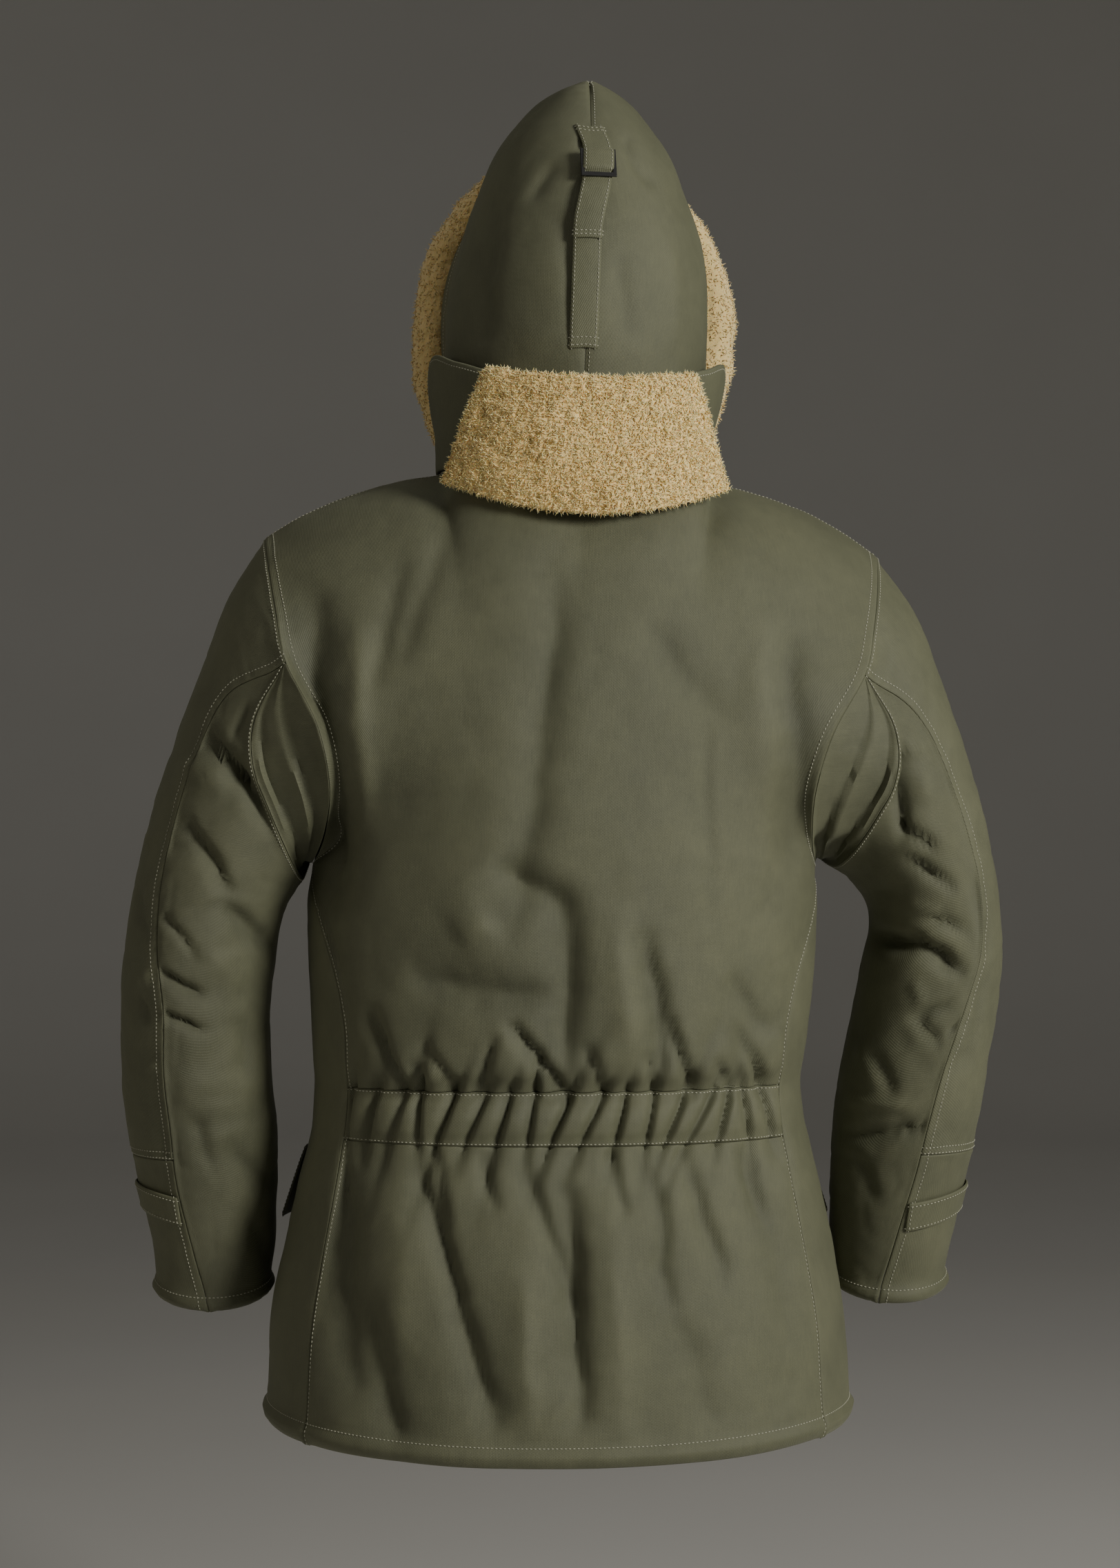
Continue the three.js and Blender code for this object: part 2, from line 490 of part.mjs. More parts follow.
// A wall of cloth. place gives its outer surface, which faces the way of u x v times turn. seam gives
// the direction of a sewn edge, shared with the neighbour. lift moves the wall off the surface that
// carries it.
function wall(cut) {
  const { columns, rows, place, turn = 1, mirror = 1 } = cut;
  const { seam = noSeam, fold = level, lift = level, thick = SHELL } = cut;
  const base = rows.map((v) => columns.map((u) => place(u, v)));
  const [lastI, lastJ] = [columns.length - 1, rows.length - 1];
  const [outer, inner] = [[], []];
  rows.forEach((v, j) => {
    columns.forEach((u, i) => {
      const isEdge = i === 0 || j === 0 || i === lastI || j === lastJ;
      const normal = (isEdge && seam(u, v)) || facing(place, u, v, columns, rows, turn);
      const spot = base[j][i].clone();
      const neighbours = [i === 0 && base[j][1], i === lastI && base[j][lastI - 1]];
      neighbours.push(j === 0 && base[1][i], j === lastJ && base[lastJ - 1][i]);
      for (const next of neighbours.filter(Boolean)) {
        spot.add(next.clone().sub(base[j][i]).setLength(SEAM_GAP / 2));
      }
      const calm = Math.min(1, Math.min(i, j, lastI - i, lastJ - j) / 2);
      const offset = lift(u, v) + calm * fold(spot, normal, u, v);
      outer.push(spot.clone().addScaledVector(normal, offset));
      inner.push(spot.addScaledVector(normal, offset - thick));
    });
  });
  const settled = [...outer, ...inner].map((p) => lean(p.multiply(point(mirror, 1, 1))));
  const triangles = [];
  const size = outer.length;
  const at = (i, j) => j * columns.length + i;
  for (let j = 0; j < lastJ; j++) {
    for (let i = 0; i < lastI; i++) {
      const [a, b, c, d] = [at(i, j), at(i + 1, j), at(i + 1, j + 1), at(i, j + 1)];
      triangles.push([a, b, c], [a, c, d], [a + size, c + size, b + size], [a + size, d + size, c + size]);
    }
  }
  const loop = [
    ...columns.map((_, i) => at(i, 0)).slice(0, -1),
    ...rows.map((_, j) => at(lastI, j)).slice(0, -1),
    ...columns.map((_, i) => at(lastI - i, lastJ)).slice(0, -1),
    ...rows.map((_, j) => at(0, lastJ - j)).slice(0, -1),
  ];
  // An edge's faces are split the same way on both sides of a seam, so that the two fit each other.
  const rank = ({ x, y, z }) => z + 0.61 * y + 0.37 * mirror * x;
  loop.forEach((p, k) => {
    const q = loop[(k + 1) % loop.length];
    if (rank(settled[p]) < rank(settled[q])) triangles.push([q, p, p + size], [q, p + size, q + size]);
    else triangles.push([p, p + size, q + size], [p, q + size, q]);
  });
  return solid(settled, triangles);
}

// A hard piece seated on a surface: its own Z axis is the surface's outward direction, and X runs along
// u.
function seat(geometry, place, u, v, lift, turn = 1, mirror = 1) {
  const flip = point(mirror, 1, 1);
  const at = (du, dv) => lean(place(u + du, v + dv).multiply(flip));
  const spot = at(0, 0);
  const along = at(0.001, 0).sub(spot).normalize();
  const out = along.clone().cross(at(0, 0.001).sub(spot)).normalize().multiplyScalar(turn * mirror);
  const basis = new THREE.Matrix4().makeBasis(along, out.clone().cross(along), out);
  return geometry.applyMatrix4(basis.setPosition(spot.addScaledVector(out, lift)));
}

const finishes = {
  twill: { color: 0x6c6c58, roughness: 0.72, metalness: 0 },
  fur: { color: 0xe4d9bb, roughness: 0.95, metalness: 0 },
  horn: { color: 0x3a352b, roughness: 0.4, metalness: 0 },
  blackMetal: { color: 0x1a1b1d, roughness: 0.42, metalness: 0.85 },
};

const trimLift = () => CLEAR + TRIM;
const parka = new THREE.Group();

function add(name, finish, geometry) {
  const mesh = new THREE.Mesh(geometry, new THREE.MeshStandardMaterial(finishes[finish]));
  mesh.name = name;
  parka.add(mesh);
}

const mirrored = (place) => (u, v) => {
  const p = place(Math.abs(u), v);
  return p.setX(u < 0 ? -p.x : p.x);
};
const bothSides = [...shareSteps.slice(1).reverse().map((share) => -share), ...shareSteps];
const bandNormal = (u, z) => girthNormal(read(girth, "z", z).seam * u, z);

// Direction shared by the sewn edges round a body panel
function bodySeam(isBack, share, height) {
  const across = Math.abs(share);
  const flip = point(share < 0 ? -1 : 1, 1, 1);
  if (across === 1) {
    const side = height <= UNDERARM_Z ? sideNormal(height) : armholeNormal(armholeAngle(isBack, height));
    return side.multiply(flip);
  }
  if (height === NECK_Z) {
    const quarter = (90 * across) / NECK_SHARE;
    const neck = neckNormal(isBack ? quarter : 180 - quarter);
    return (across <= NECK_SHARE ? neck : point(0.33, 0, 0.94)).multiply(flip);
  }
  if (isBack && (height === BAND_TOP_Z || height === BAND_LOW_Z)) {
    return bandNormal(share, height);
  }
  return null;
}

// Back: one large panel, the gathered waistband and the skirt
const backPlace = mirrored((share, height) => bodyPoint(true, share, height));
const backFold = (p, normal) => foldDepth(backFolds, p) * ramp(-normal.y, 0.1, 0.5);
// Heights at which an armhole edge passes its stations, 15 degrees apart
const armholeRows = (count) => between(UNDERARM_Z, CHEST_Z, count).slice(1);
const shoulderRows = [1, 2, 3, 4, 5, 6].map((k) => (k === 6 ? NECK_Z : mix(CHEST_Z, NECK_Z, k / 6)));
const panelRows = [BAND_TOP_Z, -496, -480, -460, -440, -420, -400, -383, -366, UNDERARM_Z];
armholeRows(6).forEach((height) => panelRows.push((panelRows.at(-1) + height) / 2, height));
const backSeamAt = (u, v) => bodySeam(true, u, v);
add(
  "back_panel",
  "twill",
  wall({
    columns: bothSides,
    rows: [...panelRows, ...shoulderRows],
    place: backPlace,
    seam: backSeamAt,
    fold: backFold,
  }),
);
add(
  "back_skirt",
  "twill",
  wall({
    columns: bothSides,
    rows: [HEM_Z, -794, -784, -740, -695, -672, -650, -626, -602, -578, BAND_LOW_Z],
    place: backPlace,
    seam: backSeamAt,
    fold: backFold,
  }),
);

// The waistband has one column on each gather and two on the cloth that stands up between neighbours.
const bandSide = read(girth, "z", -533).seam;
const bandEdge = { x: girthPoint(bandSide, -533).x, lean: 0, deep: 0 };
const bandPleats = [{ ...bandEdge, x: -bandEdge.x }, ...gathers, bandEdge];
const bandColumns = bandPleats.slice(1).flatMap((next, k) => {
  const last = bandPleats[k];
  const crest = (t) => ({ x: mix(last.x, next.x, t), lean: mix(last.lean, next.lean, t), deep: -1.2 });
  return [crest(0.3), crest(0.7), next];
});
bandColumns.unshift(bandPleats[0]);
const bandShare = (column, z) => {
  const { half, seam } = read(girth, "z", z);
  const x = column.x + (column.lean * (z + 533)) / 21;
  const angle = THREE.MathUtils.radToDeg(Math.asin(signedPower(x / half, 1 / ROUNDNESS)));
  return Math.abs(column.x) === bandEdge.x ? Math.sign(x) : THREE.MathUtils.clamp(angle / seam, -0.995, 0.995);
};
add(
  "back_waistband",
  "twill",
  wall({
    columns: bandColumns.map((_, i) => i),
    rows: [BAND_LOW_Z, -546, -533, -520, BAND_TOP_Z],
    place: (i, v) => {
      const column = Math.floor(i);
      const next = bandColumns[Math.min(column + 1, bandColumns.length - 1)];
      return backPlace(mix(bandShare(bandColumns[column], v), bandShare(next, v), i - column), v);
    },
    seam: (i, v) => bodySeam(true, bandShare(bandColumns[i], v), v),
    fold: (p, normal, i) => -1.15 * bandColumns[i].deep,
  }),
);

// Fronts, each in one piece from the shoulder to the hem
const frontPlace = (share, height) => bodyPoint(false, share, height);
const frontFold = (p, normal) => foldDepth(frontFolds, p) * ramp(normal.y, 0.1, 0.5);
const frontRows = [...sideStations, ...armholeRows(6), ...shoulderRows];
const sides = [
  ["right", 1],
  ["left", -1],
];
for (const [side, mirror] of sides) {
  add(
    `front_${side}`,
    "twill",
    wall({
      columns: shareSteps,
      rows: frontRows,
      place: frontPlace,
      turn: -1,
      mirror,
      seam: (share, height) => bodySeam(false, share, height),
      fold: frontFold,
    }),
  );
}

// Fly over the centre front, with its buttons
const frontBoth = mirrored(frontPlace);
const flyPlace = (u, height) => frontBoth(((u * FLY_HALF) / frontPlace(0.1, height).x) * 0.1, height);
const flyRows = [...frontRows.slice(0, -2), mix(CHEST_Z, NECK_Z, 0.92)];
const flyColumns = between(-1, 1, 4);
add(
  "front_fly",
  "twill",
  wall({ columns: flyColumns, rows: flyRows, place: flyPlace, turn: -1, lift: trimLift, thick: TRIM }),
);
const button = () => {
  const disc = new THREE.CylinderGeometry(BUTTON_RADIUS, BUTTON_RADIUS, BUTTON_THICK, 10);
  return disc.rotateX(Math.PI / 2).translate(0, 0, BUTTON_THICK / 2);
};
const flyButtons = [-90, -215, -340, -465, -590];
flyButtons.forEach((height, k) => {
  add(`fly_button_${k + 1}`, "horn", seat(button(), flyPlace, 0.35, height, BUTTON_LIFT, -1));
});

// Hip pockets: a patch and a flap that stands off towards its lower edge
const pocketPlace = (angle, z) => frontPlace((180 - angle) / (180 - read(girth, "z", z).seam), z);
for (const [side, mirror] of sides) {
  const shared = { place: pocketPlace, mirror, thick: TRIM };
  add(
    `pocket_${side}`,
    "twill",
    wall({ ...shared, columns: between(112, 142, 5), rows: between(-745, -596, 4), lift: trimLift }),
  );
  const flapLift = (angle, z) => CLEAR + TRIM + (6.5 * (-572 - z)) / 62;
  const flapRows = between(-634, -572, 3);
  add(
    `pocket_flap_${side}`,
    "twill",
    wall({ ...shared, columns: between(98, 143, 8), rows: flapRows, lift: flapLift }),
  );
  add(`pocket_button_${side}`, "horn", seat(button(), pocketPlace, 127, -620, BUTTON_LIFT + 6, 1, mirror));
}

// Sleeves, gussets and cuff tabs
const sleeveFold = (p, normal) => {
  const rear = foldDepth(sleeveFolds, p) * ramp(-normal.y, 0, 0.5);
  return rear + foldDepth(frontFolds, p) * ramp(normal.y, 0, 0.5);
};
for (const [name, mirror] of sides) {
  const side = name === "right" ? "seamRight" : "seamLeft";
  const outerPlace = (q, ring) => sleevePoint(side, outerAngle(side, q, ring), ring);
  const underPlace = (q, ring) => sleevePoint(side, underAngle(side, q, ring), ring);
  const lowerPlace = (q, v) => underPlace(q, mix(gussetDepth(q), rings.at(-1), v));
  const gussetPlace = (q, v) => underPlace(q, gussetDepth(q) * v);
  const shared = { mirror, fold: sleeveFold };
  const atArmhole = (angle) => (q, ring) => (ring === 0 ? armholeNormal(angle(side, q, 0)) : null);
  const lap = rings.indexOf(LAP_RING);
  add(
    `sleeve_outer_${name}`,
    "twill",
    wall({
      ...shared,
      columns: between(0, 1, 13),
      rows: rings.slice(0, lap + 1),
      place: outerPlace,
      seam: atArmhole(outerAngle),
    }),
  );
  add(
    `sleeve_end_${name}`,
    "twill",
    wall({ ...shared, columns: between(0, 1, 13), rows: rings.slice(lap), place: outerPlace }),
  );
  add(
    `sleeve_under_${name}`,
    "twill",
    wall({
      ...shared,
      columns: between(0, 1, 11),
      rows: rings.map((ring) => ring / rings.at(-1)),
      place: lowerPlace,
      seam: (q, v) => (v === 0 && (q === 0 || q * 11 > 8.5) ? armholeNormal(underAngle(side, q, 0)) : null),
    }),
  );
  add(
    `gusset_${name}`,
    "twill",
    wall({
      columns: between(0, 8 / 11, 8),
      rows: between(0, 1, 6),
      place: gussetPlace,
      mirror,
      seam: (q, v) => (v === 0 || q === 0 ? armholeNormal(underAngle(side, q, 0)) : null),
      fold: (p, normal, q, v) => (Math.round(v * 6) % 2 ? -2 : -0.3) * 3.5 * Math.sin((Math.PI * q * 11) / 8),
    }),
  );
  const tabMiddle = (angle) => (mirror > 0 ? 10.32 : 10.2) + 0.24 * ramp(angle, 0, 110);
  const tabPlace = (angle, v) => sleevePoint(side, angle, tabMiddle(angle) + v * TAB_WIDTH);
  const tabEnd = backSeam(side, 10.5) - 3;
  add(
    `cuff_tab_${name}`,
    "twill",
    wall({
      columns: between(-70, tabEnd, 13),
      rows: [-0.5, 0, 0.5],
      place: tabPlace,
      mirror,
      lift: trimLift,
      thick: TRIM,
    }),
  );
  add(`cuff_button_${name}`, "horn", seat(button(), tabPlace, -56, 0, BUTTON_LIFT, 1, mirror));
}

// Hood halves, with their centre seam over the crown
const hoodRows = [0, 0.06, 0.12, 0.2, 0.3, 0.42, 0.52, 0.62, 0.72, 0.82, 0.9, 0.96, 1];
const hoodColumns = between(0, 1, 12);
const centreSeam = (around, row) => facing(hoodPoint, around, row, [0, 1], [0, 1], 1).setX(0).normalize();
for (const [name, mirror] of sides) {
  add(
    `hood_${name}`,
    "twill",
    wall({
      columns: hoodColumns,
      rows: hoodRows,
      place: hoodPoint,
      mirror,
      seam: (around, row) => {
        if (around === 0 || row === 1 || (around === 1 && row <= 0.12)) return centreSeam(around, row);
        return row === 0 ? neckNormal(180 * around) : null;
      },
    }),
  );
}

// Fur trim round the face opening: a fat oval ring in front of the hood's edge
const FUR_STATIONS = 30;
const FUR_SIDES = 8;
const opening = between(0, 2, FUR_STATIONS).slice(0, -1);
const furCentre = hoodPoint(1, FUR_START).lerp(hoodPoint(1, 1), 0.5);
const furForward = hoodPoint(1, 1).sub(hoodPoint(1, FUR_START)).setX(0).normalize();
furForward.set(0, furForward.z, -furForward.y);
const furPoints = opening.flatMap((s) => {
  const along = s <= 1 ? s : 2 - s;
  const edge = hoodPoint(1, mix(FUR_START, 1, along)).multiply(point(s <= 1 ? 1 : -1, 1, 1));
  if (s === 0) edge.setX(0);
  const out = edge.clone().sub(furCentre).projectOnPlane(furForward).normalize();
  return between(0, 2 * Math.PI, FUR_SIDES).slice(0, -1).map((turn) => {
    const reach = mix(-FUR_IN, FUR_OUT, (1 + Math.cos(turn)) / 2);
    const ahead = 2 * CLEAR + (FUR_FORWARD * (1 + Math.sin(turn))) / 2;
    const spot = edge.clone().addScaledVector(out, reach).addScaledVector(furForward, ahead);
    return lean(spot.setX(spot.x + FUR_SHIFT * Math.sin(Math.PI * along)));
  });
});
const furTriangles = opening.flatMap((_, j) => {
  const next = ((j + 1) % FUR_STATIONS) * FUR_SIDES;
  return between(0, FUR_SIDES - 1, FUR_SIDES - 1).flatMap((i) => {
    const k = (i + 1) % FUR_SIDES;
    const [a, b, c, d] = [j * FUR_SIDES + i, j * FUR_SIDES + k, next + k, next + i];
    return [
      [a, b, c],
      [a, c, d],
    ];
  });
});
add("hood_fur_trim", "fur", solid(furPoints, furTriangles));

// Collar: a standing band round the neck, and its fur-faced fall over the back
const collarPlace = (angle, v) => {
  const across = Math.abs(angle);
  const foot = neckPoint(across);
  foot.add(foot.clone().setZ(0).setLength(SHELL + CLEAR)).setZ(foot.z + 0.5);
  const depth = Math.cos(radians(across));
  const y = -depth * (depth > 0 ? COLLAR_BACK : COLLAR_FRONT);
  const top = point(COLLAR_HALF * Math.sin(radians(across)), y, read(collarTop, "angle", across).z);
  const p = foot.lerp(top, v);
  return p.setX(angle < 0 ? -p.x : p.x);
};
const collarColumns = between(-COLLAR_END, COLLAR_END, 28);
add("collar_stand", "twill", wall({ columns: collarColumns, rows: [0, 0.33, 0.67, 1], place: collarPlace }));
const fallPlace = (u, v) => {
  const row = read(fall, "down", 1 - v);
  const y = mix(row.y, row.yEnd, Math.abs(u) ** 2.6);
  return point(row.half * u + FALL_SHIFT, y, mix(row.z, row.zEnd, u * u));
};
add(
  "collar_fur",
  "fur",
  wall({ columns: between(-1, 1, 14), rows: [0, 0.15, 0.5, 0.88, 1], place: fallPlace, thick: FALL_THICK }),
);

// Hood strap: a short tab above, a slide buckle, the long strap below it and its loose end over it
const strapPlace = (u, row) => {
  const x = u * STRAP_HALF - 2 + 7 * (ramp(row, 0.6, 0.76) - ramp(row, 0.8, 0.88));
  const p = hoodPoint(Math.asin(Math.abs(x) / read(hood, "row", row).half) / Math.PI, row);
  return p.setX(x);
};
const strap = { columns: [-1, -0.33, 0.33, 1], place: strapPlace, thick: TRIM };
add("hood_strap_long", "twill", wall({ ...strap, rows: between(0.345, 0.77, 8), lift: trimLift }));
add("hood_strap_tab", "twill", wall({ ...strap, rows: between(0.785, 0.87, 3), lift: trimLift }));
add(
  "hood_strap_end",
  "twill",
  wall({
    ...strap,
    rows: between(0.59, 0.77, 6),
    lift: (u, row) => 2 * (CLEAR + TRIM) + 3.9 * ramp(row, 0.62, 0.69),
  }),
);
const buckleShape = new THREE.Shape([
  new THREE.Vector2(-15, -13),
  new THREE.Vector2(15, -13),
  new THREE.Vector2(15, 13),
  new THREE.Vector2(-15, 13),
]);
for (const slotY of [-6, 6]) {
  const slot = [
    new THREE.Vector2(-11, slotY - 3.5),
    new THREE.Vector2(-11, slotY + 3.5),
    new THREE.Vector2(11, slotY + 3.5),
    new THREE.Vector2(11, slotY - 3.5),
  ];
  buckleShape.holes.push(new THREE.Path(slot));
}
const buckle = new THREE.ExtrudeGeometry(buckleShape, { depth: TRIM, bevelEnabled: false });
add("hood_buckle", "blackMetal", seat(buckle, strapPlace, 0, 0.762, 2 * CLEAR + TRIM + 0.6));

export default parka;
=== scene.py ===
import math
from functools import partial
from types import SimpleNamespace

import bpy
import numpy as np
from bpy.props import FloatProperty, FloatVectorProperty, PointerProperty
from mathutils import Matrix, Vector


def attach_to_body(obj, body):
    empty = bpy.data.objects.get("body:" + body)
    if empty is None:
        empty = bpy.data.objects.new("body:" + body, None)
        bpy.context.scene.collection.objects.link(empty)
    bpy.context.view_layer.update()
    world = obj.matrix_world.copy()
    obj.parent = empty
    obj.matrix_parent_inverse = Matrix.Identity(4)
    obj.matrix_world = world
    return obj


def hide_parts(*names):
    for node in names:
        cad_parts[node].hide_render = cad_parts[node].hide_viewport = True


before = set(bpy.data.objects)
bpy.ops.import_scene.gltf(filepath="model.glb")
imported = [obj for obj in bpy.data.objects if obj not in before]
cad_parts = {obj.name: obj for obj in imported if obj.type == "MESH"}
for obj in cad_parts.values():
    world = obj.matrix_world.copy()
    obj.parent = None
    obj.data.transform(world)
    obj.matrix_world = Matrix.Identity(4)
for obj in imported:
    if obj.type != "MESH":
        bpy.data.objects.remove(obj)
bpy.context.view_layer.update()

bl_info = {
    "name": "Flight parka",
    "version": (1, 0, 0),
    "blender": (4, 5, 0),
    "location": "View3D > Sidebar > Parka",
    "description": "Sews the flight parka over its frame: panels, sleeves, hood, fur, straps and stitching",
    "category": "Object",
}

# Driving dimensions, in millimetres as in the frame's source
MM = 0.001
CLOTH = 2.6
TRIM = 1.8
SEAM_GAP = 0.3
HEM_Z = -804.0
HEM_RISE = 9.0
BAND_LOW_Z = -554.0
BAND_TOP_Z = -512.0
UNDERARM_Z = -333.0
CHEST_Z = -150.0
NECK_Z = -14.0
NECK_HALF = 112.0
NECK_BACK = 92.0
NECK_FRONT = 86.0
NECK_SHARE = 0.42
SHOULDER_HALF = 257.0
LEAN = 0.0235
HOOD_LEAN = 0.038
LEAN_FROM_Z = -520.0
ROUNDNESS = 0.89
FRONT_SEAM = -105.0
LAP_RING = 9.52
LAST_RING = 13.0
CUFF_TILT = 0.24
CROWN_RISE = 20.0
COLLAR_HALF = 120.0
COLLAR_BACK = 110.0
COLLAR_FRONT = 94.0
COLLAR_END = 178.0
FALL_SHIFT = 5.0
FALL_THICK = 12.0
FUR_OUT = 33.0
FUR_IN = 11.0
FUR_FORWARD = 44.0
FUR_START = 0.125
FUR_SHIFT = 6.0
CLEAR = 0.8
FLY_HALF = 28.0
TAB_WIDTH = 0.44
STRAP_HALF = 11.6


def table(names, *rows):
    """A small table, kept by column name."""
    return dict(zip(names.split(), np.array(rows, float).T))


# Torso sections; seam is the angle of the side seam from the centre back
GIRTH = table(
    "z half back front seam",
    (-804, 246, 174, 171, 57), (-794, 248.5, 177, 174, 57), (-784, 245.5, 173.5, 171, 57),
    (-710, 241, 166, 168, 57), (-650, 231, 158, 164, 57), (-594, 219, 149, 159, 57),
    (-554, 209, 138, 154, 58), (-533, 206, 140, 152, 58), (-512, 205, 137, 153, 58),
    (-494, 207, 148, 158, 58), (-460, 210, 153, 163, 58), (-418, 213, 155, 166, 62),
    (-370, 214, 155, 168, 74), (-333, 214, 155, 168, 87), (-270, 214, 152, 166, 88),
    (-200, 210, 146, 160, 88), (-150, 206, 139, 150, 88),
)

# The right armhole: angle 0 is the shoulder tip, 90 the back, 180 the underarm and 270 the front
ARMHOLE = table(
    "angle x y z",
    (-30, 249.5, 32, -90), (0, 257, -12, -66), (30, 252.5, -58, -92), (60, 244, -94, -133),
    (90, 234.5, -112, -172), (115, 208, -122, -221), (135, 197, -108, -268), (155, 200, -72, -306),
    (180, 211, -10, -333), (205, 204, 50, -308), (225, 200, 86, -268), (250, 205, 103, -216),
    (270, 214, 98, -170), (300, 232, 70, -125), (330, 249.5, 32, -90), (360, 257, -12, -66),
    (390, 252.5, -58, -92),
)
SHOULDER = table(
    "x y z",
    (112, -6, -7), (141, -7, -13), (172, -8, -22), (201, -9, -33), (230, -11, -48), (257, -12, -66),
)
NECKLINE = table("angle z", (0, -14), (45, -11), (90, -7), (135, -28), (180, -52))
ROUNDING = table("share rise reach drop", (0, 70, 10, 14), (0.42, 88, 60, 8),
                 (0.75, 76, 58, 6), (1, 52, 40, 6))

# Sleeve rings from the armhole to the cuff
SLEEVE = table(
    "ring x_out z_out x_in z_in y depth seam_left seam_right tuck_x tuck_z sway_left sway_right",
    (0, 257, -66, 211, -333, -10, 98, 90, 90, 0, 0, 0, 0),
    (1, 286, -108, 221, -345, -6, 93, 71, 76, 3, 12, -3, 3),
    (2, 308, -162, 231, -357, -5, 87, 55, 66, 3, 19, -5, 5),
    (3, 330, -222, 237, -367, -4, 83, 51, 62, 7, 19, -5, 5),
    (4, 350, -285, 241, -379, -3, 80, 52, 61, 13, 17, -5, 5),
    (5, 364, -345, 244, -393, -1, 77, 55, 59, 14, 11, -5, 5),
    (6, 371, -400, 245, -415, 1, 75, 61, 61, 9, 3, -4, 4),
    (7, 371, -450, 246, -452, 4, 73, 69, 71, 4, 0, -2, 2),
    (8, 368, -500, 243, -500, 9, 71, 69, 79, 0, 0, 0, 0),
    (9, 362, -550, 237, -550, 17, 67, 69, 84, 0, 0, 1, 0),
    (10, 352, -600, 234, -600, 26, 61, 68, 88, 0, 0, 3, 1),
    (11, 340, -650, 235, -650, 34, 53, 74, 97, 0, 0, 4, 1.5),
    (12, 335.5, -680, 238, -680, 38, 46.5, 84, 107, 0, 0, 5, 1.5),
    (12.5, 338, -689, 236, -689, 39, 49, 87, 109, 0, 0, 5, 1.5),
    (13, 335, -697, 239, -697, 40, 46, 89, 111, 0, 0, 5, 1.5),
)
GUSSET_EDGE = table(
    "angle ring",
    (90, 0.01), (105, 1.3), (120, 1.75), (135, 1.7), (150, 1.6), (165, 1.45), (180, 1.2), (195, 0.7),
    (210, 0.01), (225, 0), (255, 0),
)

# Hood rows from the neck seam to the crown seam
HOOD = table(
    "row y_back z_back x_front y_front z_front half y_wide",
    (0, -92, -14, 0, 86, -52, 112, 0), (0.06, -92, 2, 0, 88, -32, 109.5, 1),
    (0.12, -93, 18, 0, 97, -10, 108, 2), (0.2, -95, 40, 52, 103, 6, 107, 5),
    (0.3, -101, 72, 86, 112, 40, 108, 8), (0.42, -107, 115, 108, 126, 88, 110.5, 10),
    (0.52, -108, 150, 115, 136, 135, 110, 12), (0.62, -104, 186, 112, 143, 180, 104, 15),
    (0.72, -94, 222, 99, 148, 220, 93, 18), (0.82, -78, 258, 76, 151, 252, 78, 26),
    (0.9, -60, 284, 50, 151, 274, 57, 36), (0.96, -42, 306, 26, 151, 286, 35, 48),
    (1, -26, 320.5, 0, 150, 292, 0, 58),
)
COLLAR_TOP = table(
    "angle z",
    (0, 62), (30, 65), (58, 80), (80, 88), (100, 52), (120, -2), (150, -27), (180, -38),
)
FALL = table(
    "down half y y_end z z_end",
    (0, 87, -122.6, -95.1, 65, 74), (0.12, 92, -125.3, -95.3, 56, 66), (0.5, 105, -131, -92, 10, 28),
    (0.85, 117, -133, -88, -36, -9), (1, 121, -132, -86, -49, -21),
)

# Gathers of the back waistband: x at its middle height, lean to the right going up, and depth
GATHERS = table(
    "x lean deep",
    (-176, 3, 4.5), (-157, 5, 5.5), (-136, 7, 4), (-119, 1, 5), (-98, 8, 5.5), (-74, 9, 4.5), (-52, 6, 5),
    (-30, 3, 4.5), (-6, 9, 5.5), (19, 10, 4.5), (42, 5, 5), (66, 4, 4.5), (87, 9, 5), (108, 12, 4.5),
    (128, 6, 5), (147, -3, 4.5), (166, -5, 5),
)

